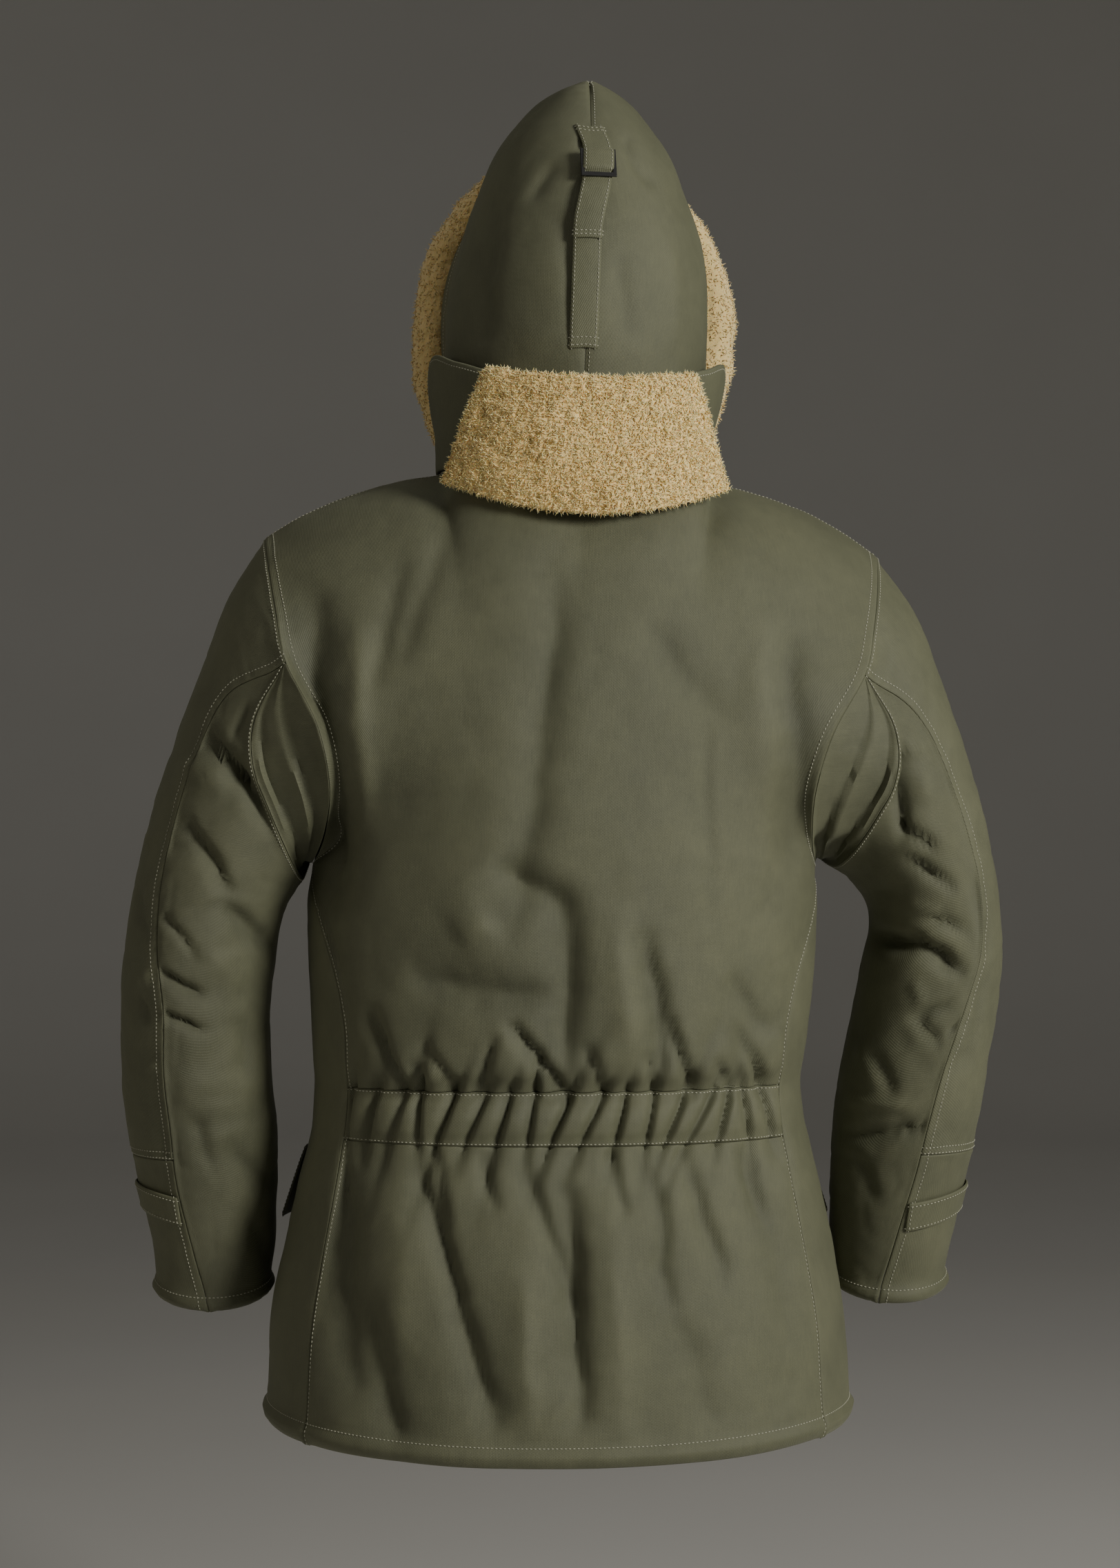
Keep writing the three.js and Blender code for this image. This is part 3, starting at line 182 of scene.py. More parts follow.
# Folds as lines in the X-Z plane, seen from behind. deep is below the cloth where negative, and sharp is how
# far the fold's steep side is narrower than its soft one.
FOLD_COLUMNS = "x1 z1 x2 z2 wide deep sharp"
BACK_FOLDS = table(
    FOLD_COLUMNS,
    (-199, -361, -215, -124, 22, -15, 0.1), (-168, -301, -180, -145, 13, 4, 0),
    (-165, -187, -142, -95, 12, -3.5, 0.2), (-142, -168, -111, -73, 12, -3, 0.2),
    (-45, -372, -17, -105, 20, -5, 0.1), (112, -212, 56, -140, 16, -3.5, 0),
    (111, -372, 103, -224, 9, -2, 0.4), (185, -322, 172, -149, 16, -6, 0),
    (155, -322, 147, -125, 20, 3.5, 0), (-6, -360, -61, -331, 18, -7.5, 0.2),
    (-1, -494, -6, -360, 19, -9, 0.25), (-26, -431, -124, -424, 20, -8, 0.15),
    (-91, -387, -67, -373, 22, 4, 0), (77, -494, 60, -387, 13, -7, 0.3), (45, -482, 37, -372, 16, 3, 0),
    (164, -465, 132, -421, 11, -4, 0.2), (-184, -482, -203, -373, 14, -6, 0.2),
    (-134, -514, -159, -450, 7, -7, 0.3), (-93, -514, -113, -475, 6, -4.5, 0.3),
    (-76, -514, -62, -465, 7, -6, 0.3), (0, -514, -48, -455, 7, -8, 0.35),
    (28, -514, 14, -475, 6, -4.5, 0.3), (101, -514, 81, -455, 7, -6.5, 0.3),
    (71, -514, 64, -482, 5, -4, 0.3), (129, -514, 119, -487, 5, -4, 0.3), (162, -511, 138, -460, 7, -5, 0.3),
    (-25, -514, -28, -487, 5, -3.5, 0.3), (-116, -514, -128, -487, 5, -3.5, 0.3),
    (-134, -793, -161, -677, 16, -6, 0.2), (-175, -738, -183, -579, 20, -9, 0.2),
    (-61, -768, -88, -671, 17, -8.5, 0.25), (-88, -671, -117, -577, 12, -8, 0.35),
    (-134, -713, -134, -604, 20, 3.5, 0), (0, -677, -37, -572, 11, -5.5, 0.3),
    (7, -762, 0, -592, 15, -9, 0.3), (-33, -774, -39, -653, 16, 4, 0), (40, -774, 37, -616, 18, 3, 0),
    (78, -677, 68, -573, 10, -4, 0.2), (124, -657, 95, -562, 10, -5, 0.2),
    (162, -616, 144, -562, 9, -4.5, 0.2), (119, -774, 83, -689, 16, -2.5, 0),
    (180, -713, 162, -604, 14, -2.5, 0.1), (-100, -616, -102, -562, 6, -4, 0.3),
    (-61, -599, -66, -562, 6, -4, 0.2), (46, -604, 37, -562, 6, -3.5, 0.3), (-24, -774, 7, -738, 10, 2, 0),
)
SLEEVE_FOLDS = table(
    FOLD_COLUMNS,
    (262, -222, 284, -290, 12, -6, 0.3), (282, -335, 330, -318, 11, -5, 0.3),
    (268, -352, 322, -378, 12, -6, 0.4), (262, -395, 318, -416, 11, -6, 0.4),
    (285, -440, 316, -428, 10, -4, 0.3), (278, -470, 305, -505, 11, -4, 0.2),
    (260, -545, 306, -548, 12, -5, 0.2), (322, -590, 350, -480, 14, -4, 0),
)
FRONT_FOLDS = table(
    FOLD_COLUMNS,
    (150, -190, 120, -330, 24, -5, 0), (60, -160, 84, -300, 28, -4, 0), (150, -420, 90, -505, 18, -5, 0.3),
    (195, -400, 180, -520, 16, -5, 0.3), (120, -515, 128, -575, 14, -4, 0),
    (265, -250, 300, -315, 14, -5, 0.2), (262, -390, 330, -402, 13, -6, 0.3),
    (265, -440, 325, -455, 13, -5, 0.3), (270, -500, 320, -520, 13, -4, 0.2),
)
# Smaller folds of the left and the right sleeve, each in its own place
LEFT_SLEEVE_FOLDS = table(
    FOLD_COLUMNS,
    (-216, -315, -294, -237, 9, -13, 0.35), (-280, -266, -316, -255, 12, 4, 0),
    (-276, -352, -312, -301, 7, -7, 0.4), (-305, -404, -328, -375, 5, -4, 0.4),
    (-318, -372, -283, -356, 4, 2.6, 0), (-242, -404, -276, -367, 10, -7, 0.3),
    (-299, -434, -335, -417, 5, -5.5, 0.4), (-292, -466, -329, -453, 5, -5.5, 0.45),
    (-295, -402, -264, -426, 12, 2.5, 0), (-345, -392, -356, -353, 8, -3.5, 0.2),
    (-341, -461, -352, -439, 7, -4, 0.3), (-352, -310, -345, -319, 7, 3, 0),
    (-350, -421, -343, -427, 7, 3, 0), (-338, -495, -340, -501, 7, 2.5, 0),
    (-255, -501, -263, -461, 9, -4, 0.2), (-243, -602, -274, -561, 12, -4, 0.2),
    (-287, -577, -302, -539, 10, -3, 0.2), (-269, -207, -279, -237, 5, -4, 0.4),
    (-234, -677, -262, -627, 12, -3, 0.1), (-312, -526, -290, -501, 12, 2, 0),
)
RIGHT_SLEEVE_FOLDS = table(
    FOLD_COLUMNS,
    (276, -304, 262, -228, 9, -8, 0.3), (289, -228, 272, -233, 6, 3, 0), (301, -312, 271, -292, 6, -6, 0.45),
    (317, -346, 281, -325, 6, -6, 0.45), (330, -384, 295, -371, 5, -5.5, 0.45),
    (329, -417, 283, -389, 8, -11, 0.45), (283, -397, 237, -379, 10, -12, 0.3),
    (305, -369, 280, -359, 6, 3, 0), (317, -445, 289, -456, 6, -4.5, 0.3), (286, -425, 294, -445, 5, 3, 0),
    (313, -481, 294, -456, 5, -4.5, 0.4), (330, -461, 317, -471, 5, -3.5, 0.4),
    (268, -516, 252, -481, 8, 3, 0), (278, -521, 265, -489, 7, -4, 0.3), (293, -536, 248, -534, 6, 3.5, 0),
    (291, -554, 241, -561, 7, -7, 0.35), (306, -551, 288, -556, 5, -4, 0.4),
    (266, -614, 248, -577, 10, -3.5, 0.2), (351, -399, 337, -342, 8, -2.5, 0.2),
    (343, -501, 354, -425, 9, -3, 0.2), (240, -501, 246, -438, 12, -4, 0.1),
    (293, -271, 285, -246, 12, 3, 0), (340, -489, 318, -509, 8, -2.5, 0.2),
)
HOOD_FOLDS = table(
    FOLD_COLUMNS,
    (-81, 102, -72, 208, 10, -5, 0.3), (-29, 240, -47, 209, 8, -4, 0.3), (34, 248, 51, 228, 8, -3.5, 0.3),
    (-12, 104, -17, 185, 9, -3, 0.2), (33, 99, 27, 161, 10, -2.5, 0), (77, 100, 67, 186, 14, 2.5, 0),
    (27, 268, 34, 248, 6, -3, 0.3), (-3, 274, -11, 257, 6, -3, 0.3),
)


def read(rows, at):
    """Every column of a table at values of its first column, on a smooth curve through the rows."""
    names = list(rows)
    keys = rows[names[0]]
    at = np.clip(np.asarray(at, float), keys[0], keys[-1])
    high = np.clip(np.searchsorted(keys, at), 1, len(keys) - 1)
    low = high - 1
    span = keys[high] - keys[low]
    t = (at - keys[low]) / span
    found = {}
    for name in names[1:]:
        value = rows[name]
        steep = np.empty_like(value)
        steep[1:-1] = (value[2:] - value[:-2]) / (keys[2:] - keys[:-2])
        steep[0] = (value[1] - value[0]) / (keys[1] - keys[0])
        steep[-1] = (value[-1] - value[-2]) / (keys[-1] - keys[-2])
        start = (value[low] * (1 + 2 * t) + steep[low] * span * t) * (1 - t) ** 2
        found[name] = start + (value[high] * (3 - 2 * t) - steep[high] * span * (1 - t)) * t**2
    return SimpleNamespace(**found)


def ramp(x, low, high):
    """0 below low, 1 above high, and smooth between them."""
    t = np.clip((np.asarray(x, float) - low) / (high - low), 0, 1)
    return t * t * (3 - 2 * t)


def mix(a, b, t):
    return a + (b - a) * t


def power(value, exponent):
    """A power that keeps the sign."""
    return np.sign(value) * np.abs(value) ** exponent


def points(x, y, z):
    return np.stack(np.broadcast_arrays(x, y, z), axis=-1).astype(float)


def lattice(cells, seed):
    """A repeatable number from 0 to 1 for each whole-numbered cell."""
    mixed = cells[..., 0] * 127.1 + cells[..., 1] * 311.7 + cells[..., 2] * 74.7 + seed * 53.3
    return np.mod(np.sin(mixed) * 43758.5453, 1.0)


def noise(p, size, seed=0):
    """Smooth noise from -1 to 1 at points p, with bumps about size across, a number or one for each axis."""
    q = p / size
    cell = np.floor(q)
    t = q - cell
    t = t * t * (3 - 2 * t)
    total = 0.0
    for dx in (0, 1):
        for dy in (0, 1):
            for dz in (0, 1):
                share = 1.0
                for axis, step in enumerate((dx, dy, dz)):
                    share = share * (t[..., axis] if step else 1 - t[..., axis])
                total = total + share * lattice(cell + (dx, dy, dz), seed)
    return 2 * total - 1


def fold_field(folds, x, z):
    """Depth of a table's folds at places in the X-Z plane: creased, wandering, faded at their ends."""
    x, z = np.broadcast_arrays(np.asarray(x, float), np.asarray(z, float))
    total = np.zeros(x.shape)
    spot = points(x, 0.0, z)
    x = x + 3.2 * noise(spot, 36, 91) + 1.2 * noise(spot, 13, 92)
    z = z + 3.2 * noise(spot, 36, 93) + 1.2 * noise(spot, 13, 94)
    for x1, z1, x2, z2, wide, deep, sharp in zip(*folds.values()):
        ax, az = x2 - x1, z2 - z1
        long = math.hypot(ax, az)
        t = ((x - x1) * ax + (z - z1) * az) / long**2
        near = np.clip(t, 0, 1)
        off = np.hypot(x - x1 - near * ax, z - z1 - near * az)
        side = ((x - x1) * az - (z - z1) * ax) / long
        off = off / (wide * (1.15 - (sharp + 0.15) * ramp(side, -wide / 3, wide / 3)))
        ends = ramp(t, -0.3, 0.3) * (1 - ramp(t, 0.7, 1.3))
        total += deep * ends * np.exp(-1.25 * (np.sqrt(off**2 + 0.05) - 0.22) * (1 + 0.45 * off))
    return total


# Surfaces of the parka, as points for arrays of places on them
def girth_point(angle, z):
    """The torso's section: angle 0 is the centre back, 90 the wearer's right and 180 the front."""
    row = read(GIRTH, z)
    along = power(np.cos(np.radians(angle)), ROUNDNESS)
    side = np.sin(np.radians(angle))
    rise = HEM_RISE * side**2 * (1 - ramp(z, HEM_Z, -650))
    y = -along * np.where(along > 0, row.back, row.front)
    return points(row.half * power(side, ROUNDNESS), y, z + rise)


def girth_angle(p, z):
    """The angle at which a section comes nearest to points."""
    row = read(GIRTH, z)
    along = power(-p[..., 1] / np.where(p[..., 1] < 0, row.back, row.front), 1 / ROUNDNESS)
    return np.degrees(np.arctan2(power(p[..., 0] / row.half, 1 / ROUNDNESS), along))


def armhole_point(angle):
    row = read(ARMHOLE, np.where(np.asarray(angle) < 0, np.asarray(angle, float) + 360, angle))
    return points(row.x, row.y, row.z)


def side_point(z):
    """The side seam, ending at the armhole."""
    seam = girth_point(read(GIRTH, z).seam, z)
    underarm = armhole_point(180.0) - girth_point(read(GIRTH, UNDERARM_Z).seam, UNDERARM_Z)
    return seam + underarm * ramp(z, -366, UNDERARM_Z)[..., None]


def neck_point(angle):
    deep = np.cos(np.radians(angle))
    y = -deep * np.where(deep > 0, NECK_BACK, NECK_FRONT)
    return points(NECK_HALF * np.sin(np.radians(angle)), y, read(NECKLINE, angle).z)


def top_edge(is_back, share):
    """A panel's top edge: half the neckline, then the shoulder seam."""
    quarter = 90 * np.minimum(share, NECK_SHARE) / NECK_SHARE
    neck = neck_point(quarter if is_back else 180 - quarter)
    past = np.clip((share - NECK_SHARE) / (1 - NECK_SHARE), 0, 1)
    x = mix(NECK_HALF, SHOULDER_HALF, past)
    row = read(SHOULDER, x)
    return np.where((share <= NECK_SHARE)[..., None], neck, points(x, row.y * ramp(past, 0, 0.2), row.z))


def armhole_angle(is_back, height):
    low = (height - UNDERARM_Z) / (CHEST_Z - UNDERARM_Z)
    high = (height - CHEST_Z) / (NECK_Z - CHEST_Z)
    middle, end = (90, 0) if is_back else (270, 360)
    return np.where(height <= CHEST_Z, mix(180, middle, low), mix(middle, end, high))


def body_point(is_back, share, height):
    """A point of the body's right half. share is 0 at the centre and 1 at the side seam or the armhole."""
    share, height = np.broadcast_arrays(np.asarray(share, float), np.asarray(height, float))
    low = np.minimum(height, CHEST_Z)
    below = low <= UNDERARM_Z
    edge = np.where(below[..., None], side_point(low), armhole_point(armhole_angle(is_back, low)))
    span = np.where(below, read(GIRTH, low).seam, girth_angle(edge, low))

    def sweep(at):
        return girth_point(span * at if is_back else 180 - (180 - span) * at, low)

    body = sweep(share) + (edge - sweep(1.0)) * share[..., None] ** 3
    if not np.any(height > CHEST_Z):
        return body
    up = np.clip((height - CHEST_Z) / (NECK_Z - CHEST_Z), 0, 1)[..., None]
    way, size = (1, 1.0) if is_back else (-1, 0.8)

    def over(at, foot):
        top = top_edge(is_back, at)
        row = read(ROUNDING, at)
        x = mix(foot[..., 0], top[..., 0], 0.3)
        first = points(x, foot[..., 1] + 12 * way, foot[..., 2] + row.rise * size)
        second = points(top[..., 0], top[..., 1] - row.reach * way * size, top[..., 2] - row.drop)
        left = 1 - up
        return foot * left**3 + 3 * first * up * left**2 + 3 * second * up**2 * left + top * up**3

    one = np.ones_like(share)
    chest_edge = armhole_point(armhole_angle(is_back, np.full_like(height, CHEST_Z)))
    upper_edge = armhole_point(armhole_angle(is_back, height))
    upper = over(share, body) + (upper_edge - over(one, chest_edge)) * share[..., None] ** 4
    return np.where((height > CHEST_Z)[..., None], upper, body)


def sleeve_point(side, angle, ring):
    """A point of a sleeve, drawn as the right one; side 1 is the right sleeve, -1 the left."""
    angle, ring = np.broadcast_arrays(np.asarray(angle, float), np.asarray(ring, float))
    out = np.cos(np.radians(angle)) / 2

    def regular(at):
        row = read(SLEEVE, at)
        right = side > 0
        x_in = row.x_in + row.tuck_x * right
        z_in = row.z_in + row.tuck_z * right
        rear = np.sin(np.radians(angle)) * row.depth
        x = (row.x_out + x_in) / 2 + out * (row.x_out - x_in) + (row.sway_right if right else row.sway_left)
        z = (row.z_out + z_in) / 2 + out * (row.z_out - z_in) - rear * CUFF_TILT * ramp(at, 10, 12.5)
        return points(x, row.y - rear, z)

    fade = (1 - np.minimum(ring, 2) / 2) ** 2
    return regular(ring) + (armhole_point(angle) - regular(np.zeros_like(ring))) * fade[..., None]


def back_seam(side, ring):
    row = read(SLEEVE, ring)
    return row.seam_right if side > 0 else row.seam_left


def outer_sleeve(side, q, ring):
    return sleeve_point(side, mix(FRONT_SEAM, back_seam(side, ring), q), ring)


def under_sleeve(side, q, ring):
    return sleeve_point(side, mix(back_seam(side, ring), FRONT_SEAM + 360, q), ring)


def gusset_depth(q):
    return np.maximum(0, read(GUSSET_EDGE, mix(90, FRONT_SEAM + 360, q)).ring)


def hood_point(around, row):
    """A point of the hood's right half. around is 0 at the centre back and 1 at the face opening."""
    at = read(HOOD, row)
    turn = np.pi * around
    rear = around < 0.5
    x = np.where(rear, at.half * np.sin(turn), mix(at.x_front, at.half, np.sin(turn)))
    y = at.y_wide - np.cos(turn) * np.where(rear, at.y_wide - at.y_back, at.y_front - at.y_wide)
    straight = mix(HOOD["z_back"][0], HOOD["z_front"][0], around)
    settle = (read(NECKLINE, 180 * around).z - straight) * (1 - ramp(row, 0, 0.2))
    crown = CROWN_RISE * np.sin(turn) * ramp(row, 0.7, 1)
    return points(x, y, mix(at.z_back, at.z_front, around) + settle + crown)


def collar_point(angle, v):
    across = np.abs(angle)
    foot = neck_point(across)
    flat = foot * (1, 1, 0)
    foot = foot + flat / np.linalg.norm(flat, axis=-1, keepdims=True) * (3 + CLEAR) + (0, 0, 0.5)
    deep = np.cos(np.radians(across))
    y = -deep * np.where(deep > 0, COLLAR_BACK, COLLAR_FRONT)
    top = points(COLLAR_HALF * np.sin(np.radians(across)), y, read(COLLAR_TOP, across).z)
    p = mix(foot, top, np.asarray(v)[..., None])
    return p * points(np.where(angle < 0, -1.0, 1.0), 1.0, 1.0)


def fall_point(u, v):
    row = read(FALL, 1 - v)
    y = mix(row.y, row.y_end, np.abs(u) ** 2.6)
    return points(row.half * u + FALL_SHIFT, y, mix(row.z, row.z_end, u * u))


def strap_point(u, row):
    x = u * STRAP_HALF - 2 + 7 * (ramp(row, 0.6, 0.76) - ramp(row, 0.8, 0.88))
    p = hood_point(np.arcsin(np.abs(x) / read(HOOD, row).half) / np.pi, row)
    return points(x, p[..., 1], p[..., 2])


def lean(p):
    """The worn parka leans to the wearer's right above the waist, its left shoulder a little higher."""
    x, y, z = p[..., 0], p[..., 1], p[..., 2]
    out = x + LEAN * np.clip(z, LEAN_FROM_Z, 0) + HOOD_LEAN * np.maximum(z, 0)
    return points(out, y, z - LEAN * x * ramp(z, LEAN_FROM_Z, -60))


def mirrored(place):
    """Both halves of a surface that is drawn for its right half."""

    def both(u, v):
        return place(np.abs(u), v) * points(np.where(np.asarray(u) < 0, -1.0, 1.0), 1.0, 1.0)

    return both


# Meshes
RIM_MARKS = np.array([0.5, 1.2, 2.1])
RIM_ROOM = 3.0
RIM_REACH = 2.6
SHARP_EDGE = math.radians(62)


def normals(p):
    """Directions across a grid of points, from its neighbours."""
    along = np.gradient(p, axis=1)
    up = np.gradient(p, axis=0)
    found = np.cross(along, up)
    size = np.linalg.norm(found, axis=-1, keepdims=True)
    found = found / np.maximum(size, 1e-9)
    weak = size[..., 0] < 1e-4 * np.median(size)
    for j, i in zip(*np.nonzero(weak)):
        row = min(max(j, 2), p.shape[0] - 3)
        column = min(max(i, 2), p.shape[1] - 3)
        found[j, i] = found[row, column]
    return found


def stations(place, low, high, step):
    """Values from low to high that lie step apart on a surface's line, and closer at its ends."""
    fine = np.linspace(low, high, 400)
    line = place(fine)
    length = np.concatenate([[0], np.cumsum(np.linalg.norm(np.diff(line, axis=0), axis=-1))])
    count = max(4, int(round(length[-1] / step)))
    marks = np.linspace(0, length[-1], count + 1)
    inner = marks[(marks > RIM_ROOM) & (marks < length[-1] - RIM_ROOM)]
    marks = np.concatenate([[0], RIM_MARKS, inner, length[-1] - RIM_MARKS[::-1], [length[-1]]])
    return np.interp(marks, length, fine)


def lengths(p, axis):
    step = np.linalg.norm(np.diff(p, axis=axis), axis=-1)
    start = np.zeros_like(np.take(step, [0], axis=axis))
    return np.concatenate([start, np.cumsum(step, axis=axis)], axis=axis)


def grid_quads(rows, columns, closed=False):
    """Quads between the points of a grid; closed joins its last row and column to its first."""
    index = np.arange(rows * columns).reshape(rows, columns)
    if closed:
        index = np.concatenate([index, index[:1]])
        index = np.concatenate([index, index[:, :1]], axis=1)
    return np.stack([index[:-1, :-1], index[:-1, 1:], index[1:, 1:], index[1:, :-1]], axis=-1).reshape(-1, 4)


def in_scene(name, data):
    """A new object at the origin, linked to the scene."""
    made = bpy.data.objects.new(name, data)
    bpy.context.scene.collection.objects.link(made)
    return made


def new_object(name, vertices, faces, material, uv=None, values=None):
    """A mesh object from points in millimetres, with faces turned outwards."""
    vertices = np.asarray(vertices, float) * MM
    corners = vertices[faces[:, :3]]
    volume = np.sum(corners[:, 0] * np.cross(corners[:, 1], corners[:, 2]))
    if faces.shape[1] == 4:
        corners = vertices[faces[:, [0, 2, 3]]]
        volume += np.sum(corners[:, 0] * np.cross(corners[:, 1], corners[:, 2]))
    if volume < 0:
        faces = faces[:, ::-1]
    mesh = bpy.data.meshes.new(name)
    mesh.from_pydata(vertices.tolist(), [], faces.tolist())
    if uv is not None:
        layer = mesh.uv_layers.new(name="weave")
        layer.data.foreach_set("uv", (uv * MM)[faces.ravel()].ravel())
    for key, field in (values or {}).items():
        mesh.attributes.new(key, "FLOAT", "POINT").data.foreach_set("value", np.asarray(field, float).ravel())
    mesh.shade_smooth()
    mesh.set_sharp_from_angle(angle=SHARP_EDGE)
    mesh.materials.append(material)
    return in_scene(name, mesh)


def roll(distance, depth, reach):
    """How far a cut or sewn edge turns in below the cloth's face."""
    t = np.clip(1 - distance / reach, 0, 1)
    return depth * (1 - np.sqrt(np.maximum(0, 1 - t**2)))


def pucker(distance, along, seed, amount=0.55, pitch=9.0, reach=11.0):
    """Small ripples that a seam draws up in the cloth beside it."""
    spot = points(along, 0.0 * along, 0.0 * along)
    wave = np.sin(2 * np.pi * (along / pitch + 0.9 * noise(spot, 34.0, seed)))
    return amount * wave * (0.55 + 0.45 * noise(spot, 21.0, seed + 5)) * np.exp(-distance / reach)


def cloth(name, place, u_span, v_span, material, **cut):
    """A wall of cloth over a surface. Returns its object and what stitches and neighbours need of its face.

    relief gives the height of folds and swells. rims is how deep each edge turns in, calm how far from each
    edge the relief fades and puckers how high its seam ripples are, in the order u low, high, v low, high.
    """
    step = cut.get("step", 3.7)
    mirror = cut.get("mirror", 1)
    thick = cut.get("thick", CLOTH)
    rims = cut.get("rims", (1.1, 1.1, 1.1, 1.1))
    middle_u = cut.get("middle_u", (u_span[0] + u_span[1]) / 2)
    middle_v = (v_span[0] + v_span[1]) / 2
    us = stations(lambda u: place(u, np.full_like(u, middle_v)), *u_span, step)
    vs = stations(lambda v: place(np.full_like(v, middle_u), v), *v_span, cut.get("step_v", step))
    u, v = np.meshgrid(us, vs)
    p = place(u, v)
    face = normals(p) * cut.get("turn", 1)
    across, down = lengths(p, 1), lengths(p, 0)
    wide, long = across[:, -1:], down[-1:, :]
    edges = [across, wide - across, down, long - down]
    side = np.array([mirror, 1, 1])
    grid = SimpleNamespace(p=p, real=p * side, face=face, u=u, v=v, across=across, down=down, long=long)
    swell = cut["relief"](grid)
    nearest = np.minimum.reduce(edges)
    for distance, calm in zip(edges, cut.get("calm", (7, 7, 7, 7))):
        if calm:
            swell = swell * ramp(distance, 0, calm)
    height = swell.copy()
    for distance, depth, toward in zip(edges, rims, ((0, 1), (0, -1), (1, 0), (-1, 0))):
        height -= roll(distance, depth, RIM_REACH)
        gap = np.where(distance < 1e-6, SEAM_GAP / 2, 0.0)[..., None]
        p = p + gap * inward(grid.p, toward)
    if "puckers" in cut:
        seed = cut.get("seed", 1)
        for k, (distance, amount) in enumerate(zip(edges, cut["puckers"])):
            if amount:
                along = down if k < 2 else across
                height += pucker(distance, along, seed + k, amount) * ramp(distance, 0.5, 3)
    lift = cut["lift"](grid) if "lift" in cut else 0.0
    outer = lean((p + face * (height + lift)[..., None]) * side)
    inner = lean((p + face * (swell + lift - thick)[..., None]) * side)
    size = u.size
    quads = grid_quads(*u.shape)
    index = np.arange(size).reshape(u.shape)
    loop = np.concatenate([index[0, :-1], index[:-1, -1], index[-1, :0:-1], index[:0:-1, 0]])
    following = np.roll(loop, -1)
    rim = np.stack([following, loop, loop + size, following + size], axis=-1)
    faces = np.concatenate([quads, quads[:, ::-1] + size, rim])
    uv = np.stack([across - wide / 2, down], axis=-1).reshape(-1, 2)
    near = np.exp(-nearest / 5).ravel()
    # fold is the relief's height, which the cloth's finish turns into painted shade in the valleys and paler
    # worn crests; edge is nearness to a cut edge, worn paler.
    values = {"fold": np.tile(np.clip(height / 6, -1, 1).ravel(), 2), "edge": np.tile(near, 2)}
    vertices = np.concatenate([outer.reshape(-1, 3), inner.reshape(-1, 3)])
    made = new_object(name, vertices, faces, material, np.tile(uv, (2, 1)), values)
    corner = outer[:-1, :-1]
    cells = np.cross(outer[1:, :-1] - corner, outer[:-1, 1:] - corner)
    area = float(np.sum(np.linalg.norm(cells, axis=-1)))
    cut_size = (float(np.max(wide)), float(np.max(long)), area)
    return SimpleNamespace(object=made, outer=outer, face=face * side, edges=edges, size=cut_size)


def inward(p, toward):
    """Unit steps from each point to its neighbour on one side."""
    rows, columns = toward
    step = np.roll(p, (-rows, -columns), axis=(0, 1)) - p
    return step / np.maximum(np.linalg.norm(step, axis=-1, keepdims=True), 1e-9)


def line_beside(sheet, edge, inset, span=(0.0, 1.0), lift=0.15):
    """Points and directions of a line beside an edge of a cloth, edges numbered as in cloth's rims."""
    distance = sheet.edges[edge]
    grid, face = sheet.outer, sheet.face
    if edge >= 2:
        distance, grid, face = distance.T, np.swapaxes(grid, 0, 1), np.swapaxes(face, 0, 1)
    if edge in (1, 3):
        distance, grid, face = distance[:, ::-1], grid[:, ::-1], face[:, ::-1]
    rows = range(int(span[0] * (len(distance) - 1)), int(span[1] * (len(distance) - 1)) + 1)
    spots, ups = [], []
    for j in rows:
        if distance[j, -1] <= inset:
            continue
        i = int(np.searchsorted(distance[j], inset))
        i = min(max(i, 1), distance.shape[1] - 1)
        t = (inset - distance[j, i - 1]) / max(distance[j, i] - distance[j, i - 1], 1e-9)
        spots.append(mix(grid[j, i - 1], grid[j, i], t) + face[j, i] * lift)
        ups.append(face[j, i])
    return np.array(spots), np.array(ups)


# Materials
class Value:
    """A shader socket that ordinary arithmetic extends with Math nodes."""

    def __init__(self, tree, socket):
        self.tree = tree
        self.socket = socket

    def math(self, operation, *others):
        node = self.tree.nodes.new("ShaderNodeMath")
        node.operation = operation
        for slot, value in zip(node.inputs, (self, *others)):
            plug(self.tree, slot, value)
        return Value(self.tree, node.outputs[0])

    def __add__(self, other):
        return self.math("ADD", other)

    def __mul__(self, other):
        return self.math("MULTIPLY", other)

    def __sub__(self, other):
        return self.math("SUBTRACT", other)

    def __rsub__(self, other):
        return self.math("MULTIPLY", -1.0) + other

    __radd__ = __add__
    __rmul__ = __mul__


def plug(tree, slot, value):
    """Links a value to a socket, or sets the socket where the value is plain."""
    if isinstance(value, Value):
        tree.links.new(value.socket, slot)
    else:
        slot.default_value = value


